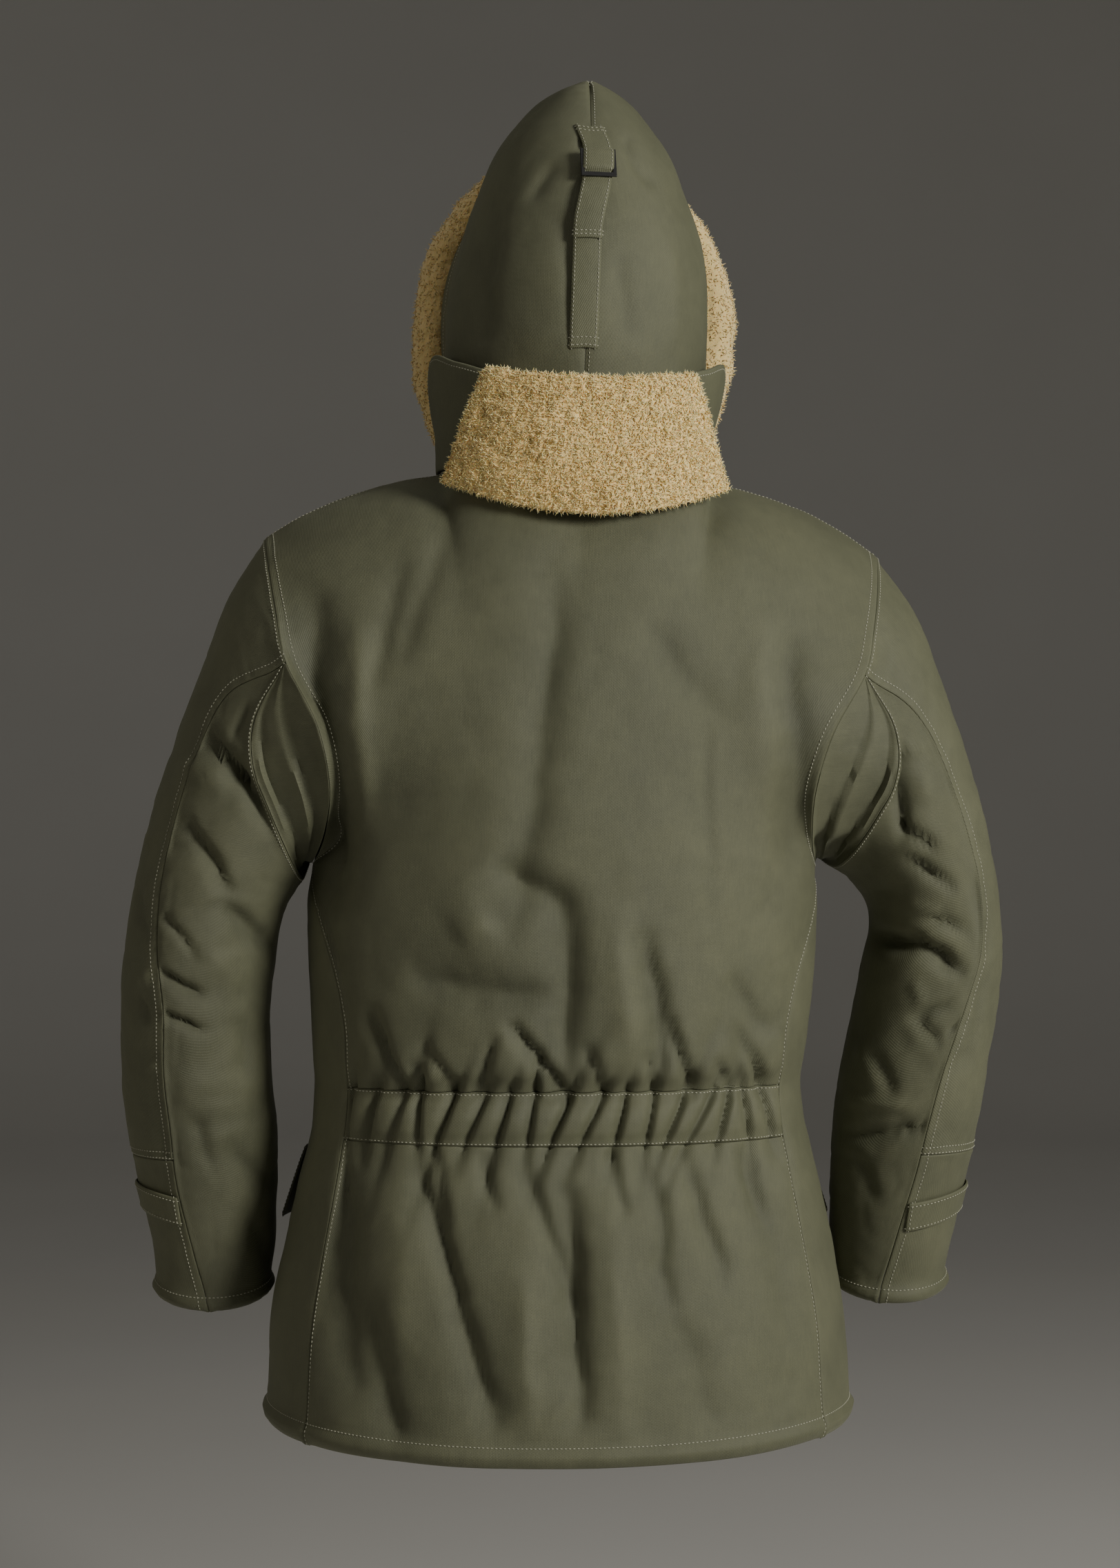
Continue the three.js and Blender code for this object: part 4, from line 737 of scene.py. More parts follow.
class Finish:
    """A material and its node tree."""

    def __init__(self, name):
        self.material = bpy.data.materials.new(name)
        self.material.use_nodes = True
        self.tree = self.material.node_tree
        self.tree.nodes.clear()

    def node(self, kind, settings=None, output=0, **values):
        """Adds a node: its settings, then its sockets' values or links, by name with spaces as _."""
        made = self.tree.nodes.new(kind)
        for key, value in (settings or {}).items():
            if key == "stops":
                elements = made.color_ramp.elements
                for stop, (position, colour) in enumerate(value):
                    element = elements[stop] if stop < 2 else elements.new(position)
                    element.position = position
                    element.color = colour
            else:
                setattr(made, key, value)
        for key, value in values.items():
            plug(self.tree, made.inputs[key.replace("_", " ")], value)
        return Value(self.tree, made.outputs[output]) if made.outputs else made

    def place(self):
        return self.node("ShaderNodeTexCoord", output="Object")

    def attribute(self, name):
        return self.node("ShaderNodeAttribute", {"attribute_name": name}, output="Fac")

    def noise(self, place, scale, detail=2.0, rough=0.5):
        return self.node("ShaderNodeTexNoise", Vector=place, Scale=scale, Detail=detail, Roughness=rough)

    def ramp(self, factor, *stops):
        return self.node("ShaderNodeValToRGB", {"stops": stops}, Fac=factor)

    def bump(self, height, strength, distance):
        return self.node("ShaderNodeBump", Height=height, Strength=strength, Distance=distance)

    def close(self, **values):
        """Ends the tree in the principled shader."""
        shader = self.node("ShaderNodeBsdfPrincipled", **values)
        self.node("ShaderNodeOutputMaterial", Surface=shader)
        return self.material


def shade(colour, factor, warm=1.0):
    """A colour made lighter or darker, as a ramp's stop takes it."""
    red, green, blue = (channel * factor for channel in colour)
    return (min(red * warm, 1), min(green, 1), min(blue / warm, 1), 1)


def cloth_finish(name, colour, thread, strength, sheen):
    """Cotton sateen: fine slanting threads, slubs, soft mottling, painted shade darkening the folds' valleys
    with paler worn crests, and worn paler on edges.
    """
    made = Finish(name)
    weave = made.node("ShaderNodeUVMap", {"uv_map": "weave"})
    u, v = (made.node("ShaderNodeSeparateXYZ", output=axis, Vector=weave) for axis in "XY")
    turns = 2 * math.pi / thread
    twill = ((u + v * 0.5) * turns).math("SINE")
    weft = (v * (turns * 1.7)).math("SINE")
    place = made.place()
    along = made.node("ShaderNodeMapping", Vector=weave, Scale=(900.0, 60.0, 1.0))
    slubs = made.noise(along, 1.0, 1.0)
    mottle = made.noise(place, 14.0, 3.0, 0.55)
    cloud = made.noise(place, 90.0, 2.0)
    grain = made.noise(place, 1400.0, 1.0)
    fold = made.attribute("fold")
    edge = made.attribute("edge")
    # Painted shade: the fold attribute darkens the valleys of the relief, and its crests come out paler, as
    # worn. edge pales the cloth beside cut edges, as worn.
    tone = (0.5 + (mottle - 0.5) * 0.55 + (cloud - 0.5) * 0.22 + (slubs - 0.5) * 0.25 + (grain - 0.5) * 0.3
            + twill * 0.035 + fold * 0.16 + edge * 0.05)
    dark, pale = shade(colour, 0.66, 0.985), shade(colour, 1.34, 1.02)
    base = made.ramp(tone, (0.12, dark), (0.5, shade(colour, 1.0)), (0.9, pale))
    height = twill * 0.5 + weft * 0.22 + slubs * 0.9 + grain * 0.5 + cloud * 2.0
    bump = made.bump(height, strength, 0.00022)
    rough = 0.62 + (mottle - 0.5) * 0.16 - fold * 0.03
    return made.close(Base_Color=base, Roughness=rough, Normal=bump, Sheen_Weight=sheen, Sheen_Roughness=0.45,
                      Sheen_Tint=(0.8, 0.82, 0.6, 1), Specular_IOR_Level=0.4)


def pile_finish(name, colour, deep, size):
    """Shearling: cream curls, tan in random patches, and painted shade down between the curls, darker towards
    each lock's root.
    """
    made = Finish(name)
    place = made.place()
    patch = made.noise(place, 16.0, 3.0, 0.6)
    curl = made.noise(place, size, 2.0, 0.6)
    tip = made.attribute("tip")
    # Painted shade: tip darkens each lock towards its root, down between the curls; patch and curl vary the
    # tan at random.
    tone = 0.46 + (patch - 0.5) * 0.5 + (curl - 0.5) * 0.3 + tip * 0.16
    base = made.ramp(tone, (0.0, deep), (0.4, shade(colour, 0.9, 1.02)), (0.85, shade(colour, 1.04, 0.99)))
    return made.close(Base_Color=base, Roughness=0.93 - tip * 0.1, Normal=made.bump(curl, 0.4, 0.0012),
                      Sheen_Weight=0.35, Sheen_Roughness=0.6, Sheen_Tint=(1.0, 0.96, 0.86, 1),
                      Specular_IOR_Level=0.2, Subsurface_Weight=0.7, Subsurface_Radius=(0.009, 0.006, 0.0035))


def thread_finish(name, colour):
    """Matt cotton thread, its twist a little uneven."""
    made = Finish(name)
    place = made.place()
    twist = made.noise(place, 1500.0, 1.0)
    base = made.ramp(twist, (0.25, shade(colour, 0.8)), (0.5, shade(colour, 1.0)), (0.8, shade(colour, 1.12)))
    return made.close(Base_Color=base, Roughness=0.6 + twist * 0.15, Specular_IOR_Level=0.4, Sheen_Weight=0.2)


def metal_finish(name, colour):
    """Black paint over steel, rubbed paler in spots."""
    made = Finish(name)
    place = made.place()
    wear = made.noise(place, 420.0, 4.0, 0.65)
    tone = wear * 0.7
    steel = (0.3, 0.29, 0.27, 1)
    base = made.ramp(tone, (0.4, shade(colour, 1.0)), (0.66, shade(colour, 2.2)), (0.85, steel))
    bump = made.bump(wear, 0.25, 0.0002)
    return made.close(Base_Color=base, Roughness=0.34 + wear * 0.25, Metallic=tone * 0.6, Normal=bump)


def button_finish(name, colour):
    """Dark horn with cloudy grain."""
    made = Finish(name)
    place = made.place()
    along = made.node("ShaderNodeMapping", Vector=place, Scale=(1.0, 1.0, 0.25))
    grain = made.noise(along, 260.0, 4.0, 0.6)
    dark, pale = shade(colour, 0.55), shade(colour, 2.1, 1.1)
    base = made.ramp(grain, (0.3, dark), (0.55, shade(colour, 1.0)), (0.78, pale))
    bump = made.bump(grain, 0.15, 0.0003)
    return made.close(Base_Color=base, Roughness=0.3 + grain * 0.2, Normal=bump, Coat_Weight=0.2)


def floor_finish(colour):
    made = Finish("pale_floor")
    place = made.place()
    soft = made.noise(place, 1.5, 2.0)
    base = made.ramp(soft, (0.3, shade(colour, 0.98)), (0.7, shade(colour, 1.01)))
    return made.close(Base_Color=base, Roughness=0.9, Specular_IOR_Level=0.2)


def finish(name):
    """A finish by name, made once from the panel's colours."""
    if name in bpy.data.materials:
        return bpy.data.materials[name]
    colours = bpy.context.scene.parka_finishes
    # deep is the pile's darkest stop: random tan patches and the painted shade between the curls.
    shell, pile, deep, weave = colours.shell, colours.pile, colours.pile_tan_and_shade, colours.weave
    makers = {
        "shell_sateen": lambda: cloth_finish(name, shell, weave, 0.55, 0.12),
        "strap_twill": lambda: cloth_finish(name, shade(shell, 1.08)[:3], weave * 1.3, 0.7, 0.15),
        "collar_shearling": lambda: pile_finish(name, pile, shade(deep, 1.0), 330.0),
        "hood_shearling": lambda: pile_finish(name, shade(pile, 0.8)[:3], shade(deep, 0.8), 520.0),
        "stitch_thread": lambda: thread_finish(name, colours.thread),
        "black_buckle_metal": lambda: metal_finish(name, colours.metal),
        "dark_horn": lambda: button_finish(name, colours.horn),
    }
    return makers[name]()


# Geometry Nodes
STITCH_SHARE = 0.74


def start_tree(name, *sizes):
    """A node tree with a mesh input and named inputs: (name, kind, default)."""
    tree = bpy.data.node_groups.new(name, "GeometryNodeTree")
    tree.interface.new_socket("Geometry", in_out="INPUT", socket_type="NodeSocketGeometry")
    for label, kind, default in sizes:
        socket = tree.interface.new_socket(label, in_out="INPUT", socket_type=kind)
        if default is not None:
            socket.default_value = default
    tree.interface.new_socket("Geometry", in_out="OUTPUT", socket_type="NodeSocketGeometry")
    return tree, tree.nodes.new("NodeGroupInput"), tree.nodes.new("NodeGroupOutput")


def geo(tree, kind, settings=None, **links):
    """Adds a node and links or sets its inputs by name, with spaces as _."""
    made = tree.nodes.new(kind)
    for key, value in (settings or {}).items():
        setattr(made, key, value)
    for key, value in links.items():
        slot = made.inputs[int(key[1:])] if key[0] == "_" else made.inputs[key.replace("_", " ")]
        if hasattr(value, "is_output"):
            tree.links.new(value, slot)
        else:
            slot.default_value = value
    return made


def end_tree(tree, group_out, geometry, material):
    realized = geo(tree, "GeometryNodeRealizeInstances", Geometry=geometry)
    painted = geo(tree, "GeometryNodeSetMaterial", Geometry=realized.outputs[0], Material=material)
    tree.links.new(painted.outputs[0], group_out.inputs[0])


def stitch_tree():
    """Thread stitches along lines, each a small pill that lies on the cloth."""
    if "parka_stitches" in bpy.data.node_groups:
        return bpy.data.node_groups["parka_stitches"]
    tree, given, out = start_tree(
        "parka_stitches",
        ("Pitch", "NodeSocketFloat", 0.0032),
        ("Stitch Length", "NodeSocketFloat", 0.0024),
        ("Thread", "NodeSocketFloat", 0.0008),
        ("Material", "NodeSocketMaterial", None),
    )
    take = given.outputs
    curve = geo(tree, "GeometryNodeMeshToCurve", Mesh=take["Geometry"])
    even = geo(tree, "GeometryNodeResampleCurve", {"mode": "LENGTH"}, Curve=curve.outputs[0],
               Length=take["Pitch"])
    tangent = geo(tree, "GeometryNodeInputTangent")
    up = geo(tree, "GeometryNodeInputNamedAttribute", {"data_type": "FLOAT_VECTOR"}, Name="up")
    along = geo(tree, "FunctionNodeAlignRotationToVector", {"axis": "X"}, Vector=tangent.outputs[0])
    turned = geo(tree, "FunctionNodeAlignRotationToVector", {"axis": "Z", "pivot_axis": "X"},
                 Rotation=along.outputs[0], Vector=up.outputs[0])
    pill = geo(tree, "GeometryNodeMeshIcoSphere", Radius=0.5, Subdivisions=1)
    size = geo(tree, "ShaderNodeCombineXYZ", X=take["Stitch Length"], Y=take["Thread"], Z=take["Thread"])
    placed = geo(tree, "GeometryNodeInstanceOnPoints", Points=even.outputs[0], Instance=pill.outputs[0],
                 Rotation=turned.outputs[0], Scale=size.outputs[0])
    end_tree(tree, out, placed.outputs[0], take["Material"])
    return tree


def tuft_tree():
    """Tufts of pile scattered over a pelt's face, leaning and turning at random."""
    if "parka_pile" in bpy.data.node_groups:
        return bpy.data.node_groups["parka_pile"]
    tree, given, out = start_tree(
        "parka_pile",
        ("Tuft", "NodeSocketObject", None),
        ("Density", "NodeSocketFloat", 90000.0),
        ("Tuft Size", "NodeSocketFloat", 1.0),
        ("Lean", "NodeSocketFloat", 0.5),
        ("Seed", "NodeSocketInt", 3),
        ("Material", "NodeSocketMaterial", None),
    )
    take = given.outputs
    lean_by, seed = take["Lean"], take["Seed"]
    spread = geo(tree, "GeometryNodeDistributePointsOnFaces", Mesh=take["Geometry"], Density=take["Density"],
                 Seed=seed)
    below = geo(tree, "ShaderNodeMath", {"operation": "MULTIPLY"}, _0=lean_by, _1=-1.0).outputs[0]
    low = geo(tree, "ShaderNodeCombineXYZ", X=below, Y=below, Z=-3.14)
    high = geo(tree, "ShaderNodeCombineXYZ", X=lean_by, Y=lean_by, Z=3.14)
    spin = geo(tree, "FunctionNodeRandomValue", {"data_type": "FLOAT_VECTOR"}, Min=low.outputs[0],
               Max=high.outputs[0], Seed=seed)
    rotation = geo(tree, "FunctionNodeRotateRotation", {"rotation_space": "LOCAL"},
                   Rotation=spread.outputs["Rotation"], Rotate_By=spin.outputs[0])
    size = geo(tree, "FunctionNodeRandomValue", {"data_type": "FLOAT"}, _2=0.7, _3=1.25, Seed=seed)
    scaled = geo(tree, "ShaderNodeMath", {"operation": "MULTIPLY"}, _0=size.outputs[1], _1=take["Tuft Size"])
    shape = geo(tree, "GeometryNodeObjectInfo", Object=take["Tuft"])
    placed = geo(tree, "GeometryNodeInstanceOnPoints", Points=spread.outputs[0],
                 Instance=shape.outputs["Geometry"], Rotation=rotation.outputs[0], Scale=scaled.outputs[0])
    end_tree(tree, out, placed.outputs[0], take["Material"])
    return tree


def grow(name, source, tree, **inputs):
    """Runs a node tree on a source object, which it replaces with the plain mesh that comes out."""
    modifier = source.modifiers.new("grow", "NODES")
    modifier.node_group = tree
    labels = {item.name: item.identifier for item in tree.interface.items_tree if item.in_out == "INPUT"}
    for key, value in inputs.items():
        modifier[labels[key.replace("_", " ")]] = value
    bpy.context.view_layer.update()
    graph = bpy.context.evaluated_depsgraph_get()
    mesh = bpy.data.meshes.new_from_object(source.evaluated_get(graph), depsgraph=graph)
    source.modifiers.clear()
    bpy.data.objects.remove(source, do_unlink=True)
    mesh.name = name
    mesh.shade_smooth()
    if not len(mesh.polygons):
        raise RuntimeError(f"{name} came out empty")
    return in_scene(name, mesh)


def sew(name, lines):
    """Stitches along lines, as one object that rides with the parka."""
    sizes = bpy.context.scene.parka_sizes
    vertices, ups, edges = [], [], []
    for spots, directions in lines:
        if len(spots) < 2:
            continue
        start = len(vertices)
        vertices += (np.asarray(spots) * MM).tolist()
        ups += np.asarray(directions).tolist()
        edges += [(start + k, start + k + 1) for k in range(len(spots) - 1)]
    mesh = bpy.data.meshes.new(name)
    mesh.from_pydata(vertices, edges, [])
    mesh.attributes.new("up", "FLOAT_VECTOR", "POINT").data.foreach_set("vector", np.array(ups).ravel())
    pitch = sizes.stitch_pitch
    made = grow(name, in_scene(name + "_lines", mesh), stitch_tree(), Pitch=pitch, Thread=sizes.thread,
                Stitch_Length=pitch * STITCH_SHARE, Material=finish("stitch_thread"))
    attach(made, "shell_cloth")


def attach(piece, slot, *nodes):
    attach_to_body(piece, "root")
    if nodes:
        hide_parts(*nodes)


# A cut that fills more of its width and length than this counts as a plain oblong
OBLONG_SHARE = 0.97


def declare(sheet, spare=1.0):
    """Works out the flat cut of a cloth piece, measured on its face, and whether it is a plain oblong, but
    keeps none of it; spare is what gathers or pleats take up.
    """
    unit = MM * spare
    wide, long, area = sheet.size[0] * unit, sheet.size[1] * unit, sheet.size[2] * unit**2
    not_oblong = area / (wide * long) < OBLONG_SHARE


# Shapes of the cloth's relief
HEM = 19.0
CUFF_HEM = 15.0


def gather_field(x, z):
    """The waistband's gathers, as notches that run out into the cloth above and below the band."""
    total = np.zeros(np.broadcast(x, z).shape)
    pinch = np.minimum(np.abs(z - BAND_TOP_Z), np.abs(z - BAND_LOW_Z))
    inside = (z <= BAND_TOP_Z) & (z >= BAND_LOW_Z)
    for k, (x0, lean_by, deep) in enumerate(zip(*GATHERS.values())):
        reach_up = 26 + 34 * math.sin(k * 2.4 + 0.6) ** 2
        reach_low = 22 + 40 * math.sin(k * 1.7 + 1.1) ** 2
        beyond = np.maximum(z - BAND_TOP_Z, 0) / reach_up + np.maximum(BAND_LOW_Z - z, 0) / reach_low
        off = x - x0 - lean_by * (z + 533) / 21
        steep = np.where(off > 0, 2.3, 5.6) * (1 + 1.6 * beyond)
        soft = np.exp(-((np.abs(off) / steep) ** 1.6)) * np.exp(-(beyond**2) * 1.4)
        share = np.where(inside, 0.66 + 0.34 * ramp(pinch, 0, 9), 0.66 + 0.24 * np.exp(-beyond * 3))
        total -= 1.35 * deep * soft * share
    puff = np.where(inside, 2.6 * ramp(pinch, 0, 12), 0.0)
    return total + puff


def soft_relief(grid, seed, large=1.3, small=0.12):
    """Gentle unevenness of worn cotton: broad swells and a few finer creases."""
    p = grid.real
    bent = p + 6 * noise(p, 30, seed + 6)[..., None]
    creases = 1 - np.abs(noise(bent, (34, 46, 30), seed + 2))
    fine = 1 - np.abs(noise(bent, (17, 24, 15), seed + 4))
    swells = large * noise(p, 64, seed) + 0.5 * large * noise(bent, 31, seed + 1)
    return (swells + 2 * small * noise(bent, 14, seed + 3) - 2.6 * small * ramp(creases, 0.8, 1.0)
            - 1.1 * small * ramp(fine, 0.84, 1.0))


def turned_hem(distance, wide, along, seed):
    """The puffed tube of a turned hem, and the groove that its stitches press."""
    t = np.clip(distance / wide, 0, 1)
    wave = noise(points(along, 0.0, 0.0), 26, seed)
    tube = (1.5 + 0.6 * wave) * np.sin(np.pi * t) ** 0.8 * (distance < wide)
    return tube - 2.4 * (1 - ramp(distance, 0, wide)) - 1.2 * np.exp(-(((distance - wide) / 1.7) ** 2))


def folds_over(table_rows, p):
    """A table's folds at points of a surface."""
    return fold_field(table_rows, p[..., 0], p[..., 2])


def calmed(relief, distance, low, high):
    """A relief that is weaker beside an edge."""
    return relief * (0.25 + 0.75 * ramp(distance, low, high))


def back_relief(grid):
    p = grid.real
    x, z = p[..., 0], p[..., 2]
    rear = ramp(-grid.face[..., 1], 0.1, 0.5)
    drape = 1.1 * np.sin(x / 17 + 1.3 * noise(p, 90, 4)) * (1 - ramp(z, -800, -600)) * rear
    relief = (1.3 * folds_over(BACK_FOLDS, p) + gather_field(x, z)) * rear
    above = np.maximum(z - BAND_TOP_Z, 0)
    blouse = 4.0 * ramp(above, 0, 14) * (1 - ramp(above, 18, 60)) * (0.6 + 0.4 * noise(p, 30, 8))
    return relief + drape + blouse * rear + soft_relief(grid, 11)


def skirt_relief(grid):
    return calmed(back_relief(grid), grid.down, 14, 30) + turned_hem(grid.down, HEM, grid.across, 5)


def front_relief(grid):
    ahead = ramp(grid.face[..., 1], 0.1, 0.5)
    relief = folds_over(FRONT_FOLDS, grid.p) * ahead + soft_relief(grid, 23)
    return calmed(relief, grid.down, 14, 30) + turned_hem(grid.down, HEM, grid.across, 5)


def sleeve_relief(side, cuffed):
    """The relief of a sleeve's piece; a cuffed one ends in the turned cuff."""
    own = RIGHT_SLEEVE_FOLDS if side > 0 else LEFT_SLEEVE_FOLDS

    def relief(grid):
        rear = ramp(-grid.face[..., 1], 0, 0.5)
        ahead = ramp(grid.face[..., 1], 0, 0.5)
        folds = 0.3 * folds_over(SLEEVE_FOLDS, grid.p) + 1.2 * folds_over(own, grid.real)
        folds = folds * rear + folds_over(FRONT_FOLDS, grid.p) * ahead
        folds = folds + soft_relief(grid, 31 + side, 1.5, 0.22)
        if not cuffed:
            return folds
        to_cuff = grid.long - grid.down
        return calmed(folds, to_cuff, 12, 26) + turned_hem(to_cuff, CUFF_HEM, grid.across, 6)

    return relief


def hood_relief(grid):
    rear = ramp(-grid.face[..., 1], 0, 0.4)
    return folds_over(HOOD_FOLDS, grid.real) * rear + soft_relief(grid, 47, 1.6, 0.1)


def pleat_relief(grid):
    """Knife pleats that spread from the point where the gusset meets the sleeve's back seam."""
    along = np.clip(grid.u * 11 / 8, 0, 1)
    turn = np.mod(grid.v * 2.2 + 0.35 * along, 1.0)
    saw = np.where(turn < 0.9, turn / 0.9, (1 - turn) / 0.1)
    pleats = -6.5 * saw * np.sin(np.pi * along) ** 0.8 * (1 - 0.6 * ramp(along, 0.55, 0.75))
    tuck = -6.0 * ramp(along, 0.5, 0.62) * (1 - ramp(along, 0.8, 1.0))
    return pleats + tuck + soft_relief(grid, 53, 0.4, 0.2)


def curl_relief(grid):
    """Nubbly curls of shearling, tighter towards the wearer's lower left."""
    p = grid.real
    bent = p + 2.5 * noise(p, 9, 64)[..., None]
    tight = 0.55 + 0.45 * noise(p, 48, 65)
    lumps = np.abs(noise(bent, 7.5, 61))
    curls = np.abs(noise(bent, 4.1, 62))
    return 2.6 * (1 - lumps) + 1.9 * tight * (1 - curls) + 2.0 * noise(p, 28, 63) - 3.0


def small_relief(grid):
    return 0.35 * noise(grid.real, 22, 71) + 0.18 * noise(grid.real, 9, 72)


# Places of the pieces, and how far those that lie on others are lifted
FRONT_COARSER = 1.45
GUSSET_SPAN = 8 / 11
SIDES = (("right", 1), ("left", -1))
BUTTON_LIFT = 3.2
BUCKLE_LIFT = 5.8
BUCKLE_ROW = 0.762
ROW_OF_MM = 0.00254
FLAP_TOP = -572.0
FLAP_LOW = -634.0


def fly_place(u, height):
    """A place on the fly, with u from -1 to 1 across it."""
    near = body_point(False, 0.1, height)
    return mirrored(partial(body_point, False))(u * FLY_HALF / near[..., 0] * 0.1, height)


def pocket_place(angle, z):
    return body_point(False, (180 - angle) / (180 - read(GIRTH, z).seam), z)


def tab_place(side, angle, v):
    """A place on a cuff tab, with v from -0.5 to 0.5 across it."""
    middle = (10.32 if side > 0 else 10.2) + 0.24 * ramp(angle, 0, 110)
    return sleeve_point(side, angle, middle + v * TAB_WIDTH)


def under_place(side, q, v):
    """A place on a sleeve's under piece, which starts below the gusset."""
    return under_sleeve(side, q, mix(gusset_depth(q), LAST_RING, v))


def gusset_place(side, q, v):
    return under_sleeve(side, q, gusset_depth(q) * v)


def trim_lift(grid):
    """The outer face of a cloth that lies on another."""
    return CLEAR + TRIM


def flap_lift(grid):
    """A pocket flap stands out more towards its lower edge."""
    return CLEAR + TRIM + 6.5 * (FLAP_TOP - grid.v) / (FLAP_TOP - FLAP_LOW)


def stand_lift(grid):
    """The stand opens away from the hood beside the fall."""
    side = np.exp(-(((np.abs(grid.u) - 82) / 30) ** 2))
    return 6.0 * side * ramp(grid.v, 0.45, 1.0)


def loop_lift(grid):
    """The strap's loose end comes up under the buckle's lower bar and over its other two."""
    above = (grid.v - BUCKLE_ROW) / ROW_OF_MM
    lift = 5.0 + 1.8 * ramp(grid.v, 0.6, 0.64) - 1.4 * ramp(above, -22, -14)
    return lift + 4.6 * ramp(above, -9.4, -4.6) - 0.8 * ramp(above, 9.5, 12.5)


# Pieces that the operators make, kept by name for those that sew on them
SHEETS = {}


def mesh_step():
    return bpy.context.scene.parka_sizes.step / MM


def piece(part, place, u_span, v_span, node=None, finish_name="shell_sateen", held="hung", rests_on=(),
          spare=1.0, **cut):
    """Makes a part's cloth, puts it in the place of its CAD node and works out its cut."""
    name = part + "_cloth"
    made = cloth(name, place, u_span, v_span, finish(finish_name), **cut)
    attach(made.object, "shell_cloth", node or part)
    declare(made, spare)
    SHEETS[name] = made


def sheet_named(name):
    if name not in SHEETS:
        raise RuntimeError(f"{name} is sewn on before it is made: run its own operator first")
    return SHEETS[name]


class PartOperator:
    """What every operator of the parka shares."""

    bl_options = {"REGISTER", "UNDO"}

    def execute(self, context):
        self.make(context)
        return {"FINISHED"}


class PARKA_OT_back(PartOperator, bpy.types.Operator):
    """Sews the back panel, the gathered waistband and the skirt"""

    bl_idname = "parka.back"
    bl_label = "Back"

    def make(self, context):
        step = mesh_step()
        place = mirrored(partial(body_point, True))
        piece("back_panel", place, (-1, 1), (BAND_TOP_Z, NECK_Z), step=step, relief=back_relief,
              calm=(7, 7, 0, 9), puckers=(0.6, 0.6, 0.5, 0.3), seed=3)
        piece("back_waistband", place, (-1, 1), (BAND_LOW_Z, BAND_TOP_Z), held="gathered", spare=1.15,
              step=1.9, relief=back_relief, calm=(5, 5, 0, 0), seed=5)
        piece("back_skirt", place, (-1, 1), (HEM_Z, BAND_LOW_Z), step=step, relief=skirt_relief,
              calm=(7, 7, 0, 0), puckers=(0.5, 0.5, 0.4, 0.5), seed=7, rims=(1.1, 1.1, 1.6, 1.1))


class PARKA_OT_fronts(PartOperator, bpy.types.Operator):
    """Sews both fronts, the fly and the hip pockets with their flaps"""

    bl_idname = "parka.fronts"
    bl_label = "Fronts"

    def make(self, context):
        step = mesh_step() * FRONT_COARSER
        place = partial(body_point, False)
        for side, mirror in SIDES:
            piece(f"front_{side}", place, (0, 1), (HEM_Z, NECK_Z), step=step, mirror=mirror, turn=-1,
                  relief=front_relief, calm=(7, 7, 0, 7), puckers=(0.3, 0.6, 0.4, 0.3), seed=9)
            small = {"step": 5.0, "mirror": mirror, "thick": TRIM, "relief": small_relief}
            piece(f"pocket_{side}", pocket_place, (112, 142), (-745, -596),
                  rests_on=(f"front_{side}_cloth",), lift=trim_lift, seed=11, **small)
            piece(f"pocket_flap_{side}", pocket_place, (98, 143), (FLAP_LOW, FLAP_TOP),
                  rests_on=(f"pocket_{side}_cloth",), lift=flap_lift, seed=12, **small)
        top = mix(CHEST_Z, NECK_Z, 0.92)
        piece("front_fly", fly_place, (-1, 1), (HEM_Z, top), rests_on=("front_left_cloth",), step=5.0,
              turn=-1, thick=TRIM, lift=trim_lift, relief=small_relief, seed=13)


class PARKA_OT_sleeves(PartOperator, bpy.types.Operator):
    """Sews the sleeves: outer and under panels, turned ends, pleated gussets and cuff tabs"""

    bl_idname = "parka.sleeves"
    bl_label = "Sleeves"

    def make(self, context):
        step = mesh_step()
        cuff = {"calm": (7, 7, 7, 0), "rims": (1.1, 1.1, 1.1, 1.7)}
        for name, side in SIDES:
            shared = {"step": step, "mirror": side}
            outer = partial(outer_sleeve, side)
            relief, end_relief = sleeve_relief(side, False), sleeve_relief(side, True)
            piece(f"sleeve_outer_{name}", outer, (0, 1), (0, LAP_RING), relief=relief,
                  puckers=(0.4, 0.7, 0.6, 0.4), seed=15 + side, **shared)
            piece(f"sleeve_end_{name}", outer, (0, 1), (LAP_RING, LAST_RING), relief=end_relief,
                  puckers=(0.4, 0.5, 0.5, 0.6), seed=17 + side, **cuff, **shared)
            piece(f"sleeve_under_{name}", partial(under_place, side), (0, 1), (0, 1), relief=end_relief,
                  puckers=(0.7, 0.4, 0.5, 0.6), seed=19 + side, middle_u=0.25, **cuff, **shared)
            piece(f"gusset_{name}", partial(gusset_place, side), (0, GUSSET_SPAN), (0, 1), held="folded",
                  spare=1.2, relief=pleat_relief, calm=(0, 0, 3, 3), seed=21, step_v=2.4, **shared)
            piece(f"cuff_tab_{name}", partial(tab_place, side), (-70, back_seam(side, 10.5) - 3),
                  (-0.5, 0.5), rests_on=(f"sleeve_end_{name}_cloth",), step=3.4, mirror=side, thick=TRIM,
                  lift=trim_lift, relief=small_relief, seed=23)


class PARKA_OT_hood(PartOperator, bpy.types.Operator):
    """Sews the two halves of the hood"""

    bl_idname = "parka.hood"
    bl_label = "Hood"

    def make(self, context):
        for name, side in SIDES:
            piece(f"hood_{name}", hood_point, (0, 1), (0, 1), step=mesh_step(), mirror=side,
                  relief=hood_relief, puckers=(0.5, 0.3, 0.3, 0.6), seed=25 + side,
                  rims=(0.25, 1.1, 1.1, 1.1), calm=(4, 7, 7, 7))


PILE_TALL = 3.0
PILE_LEAN = 0.8


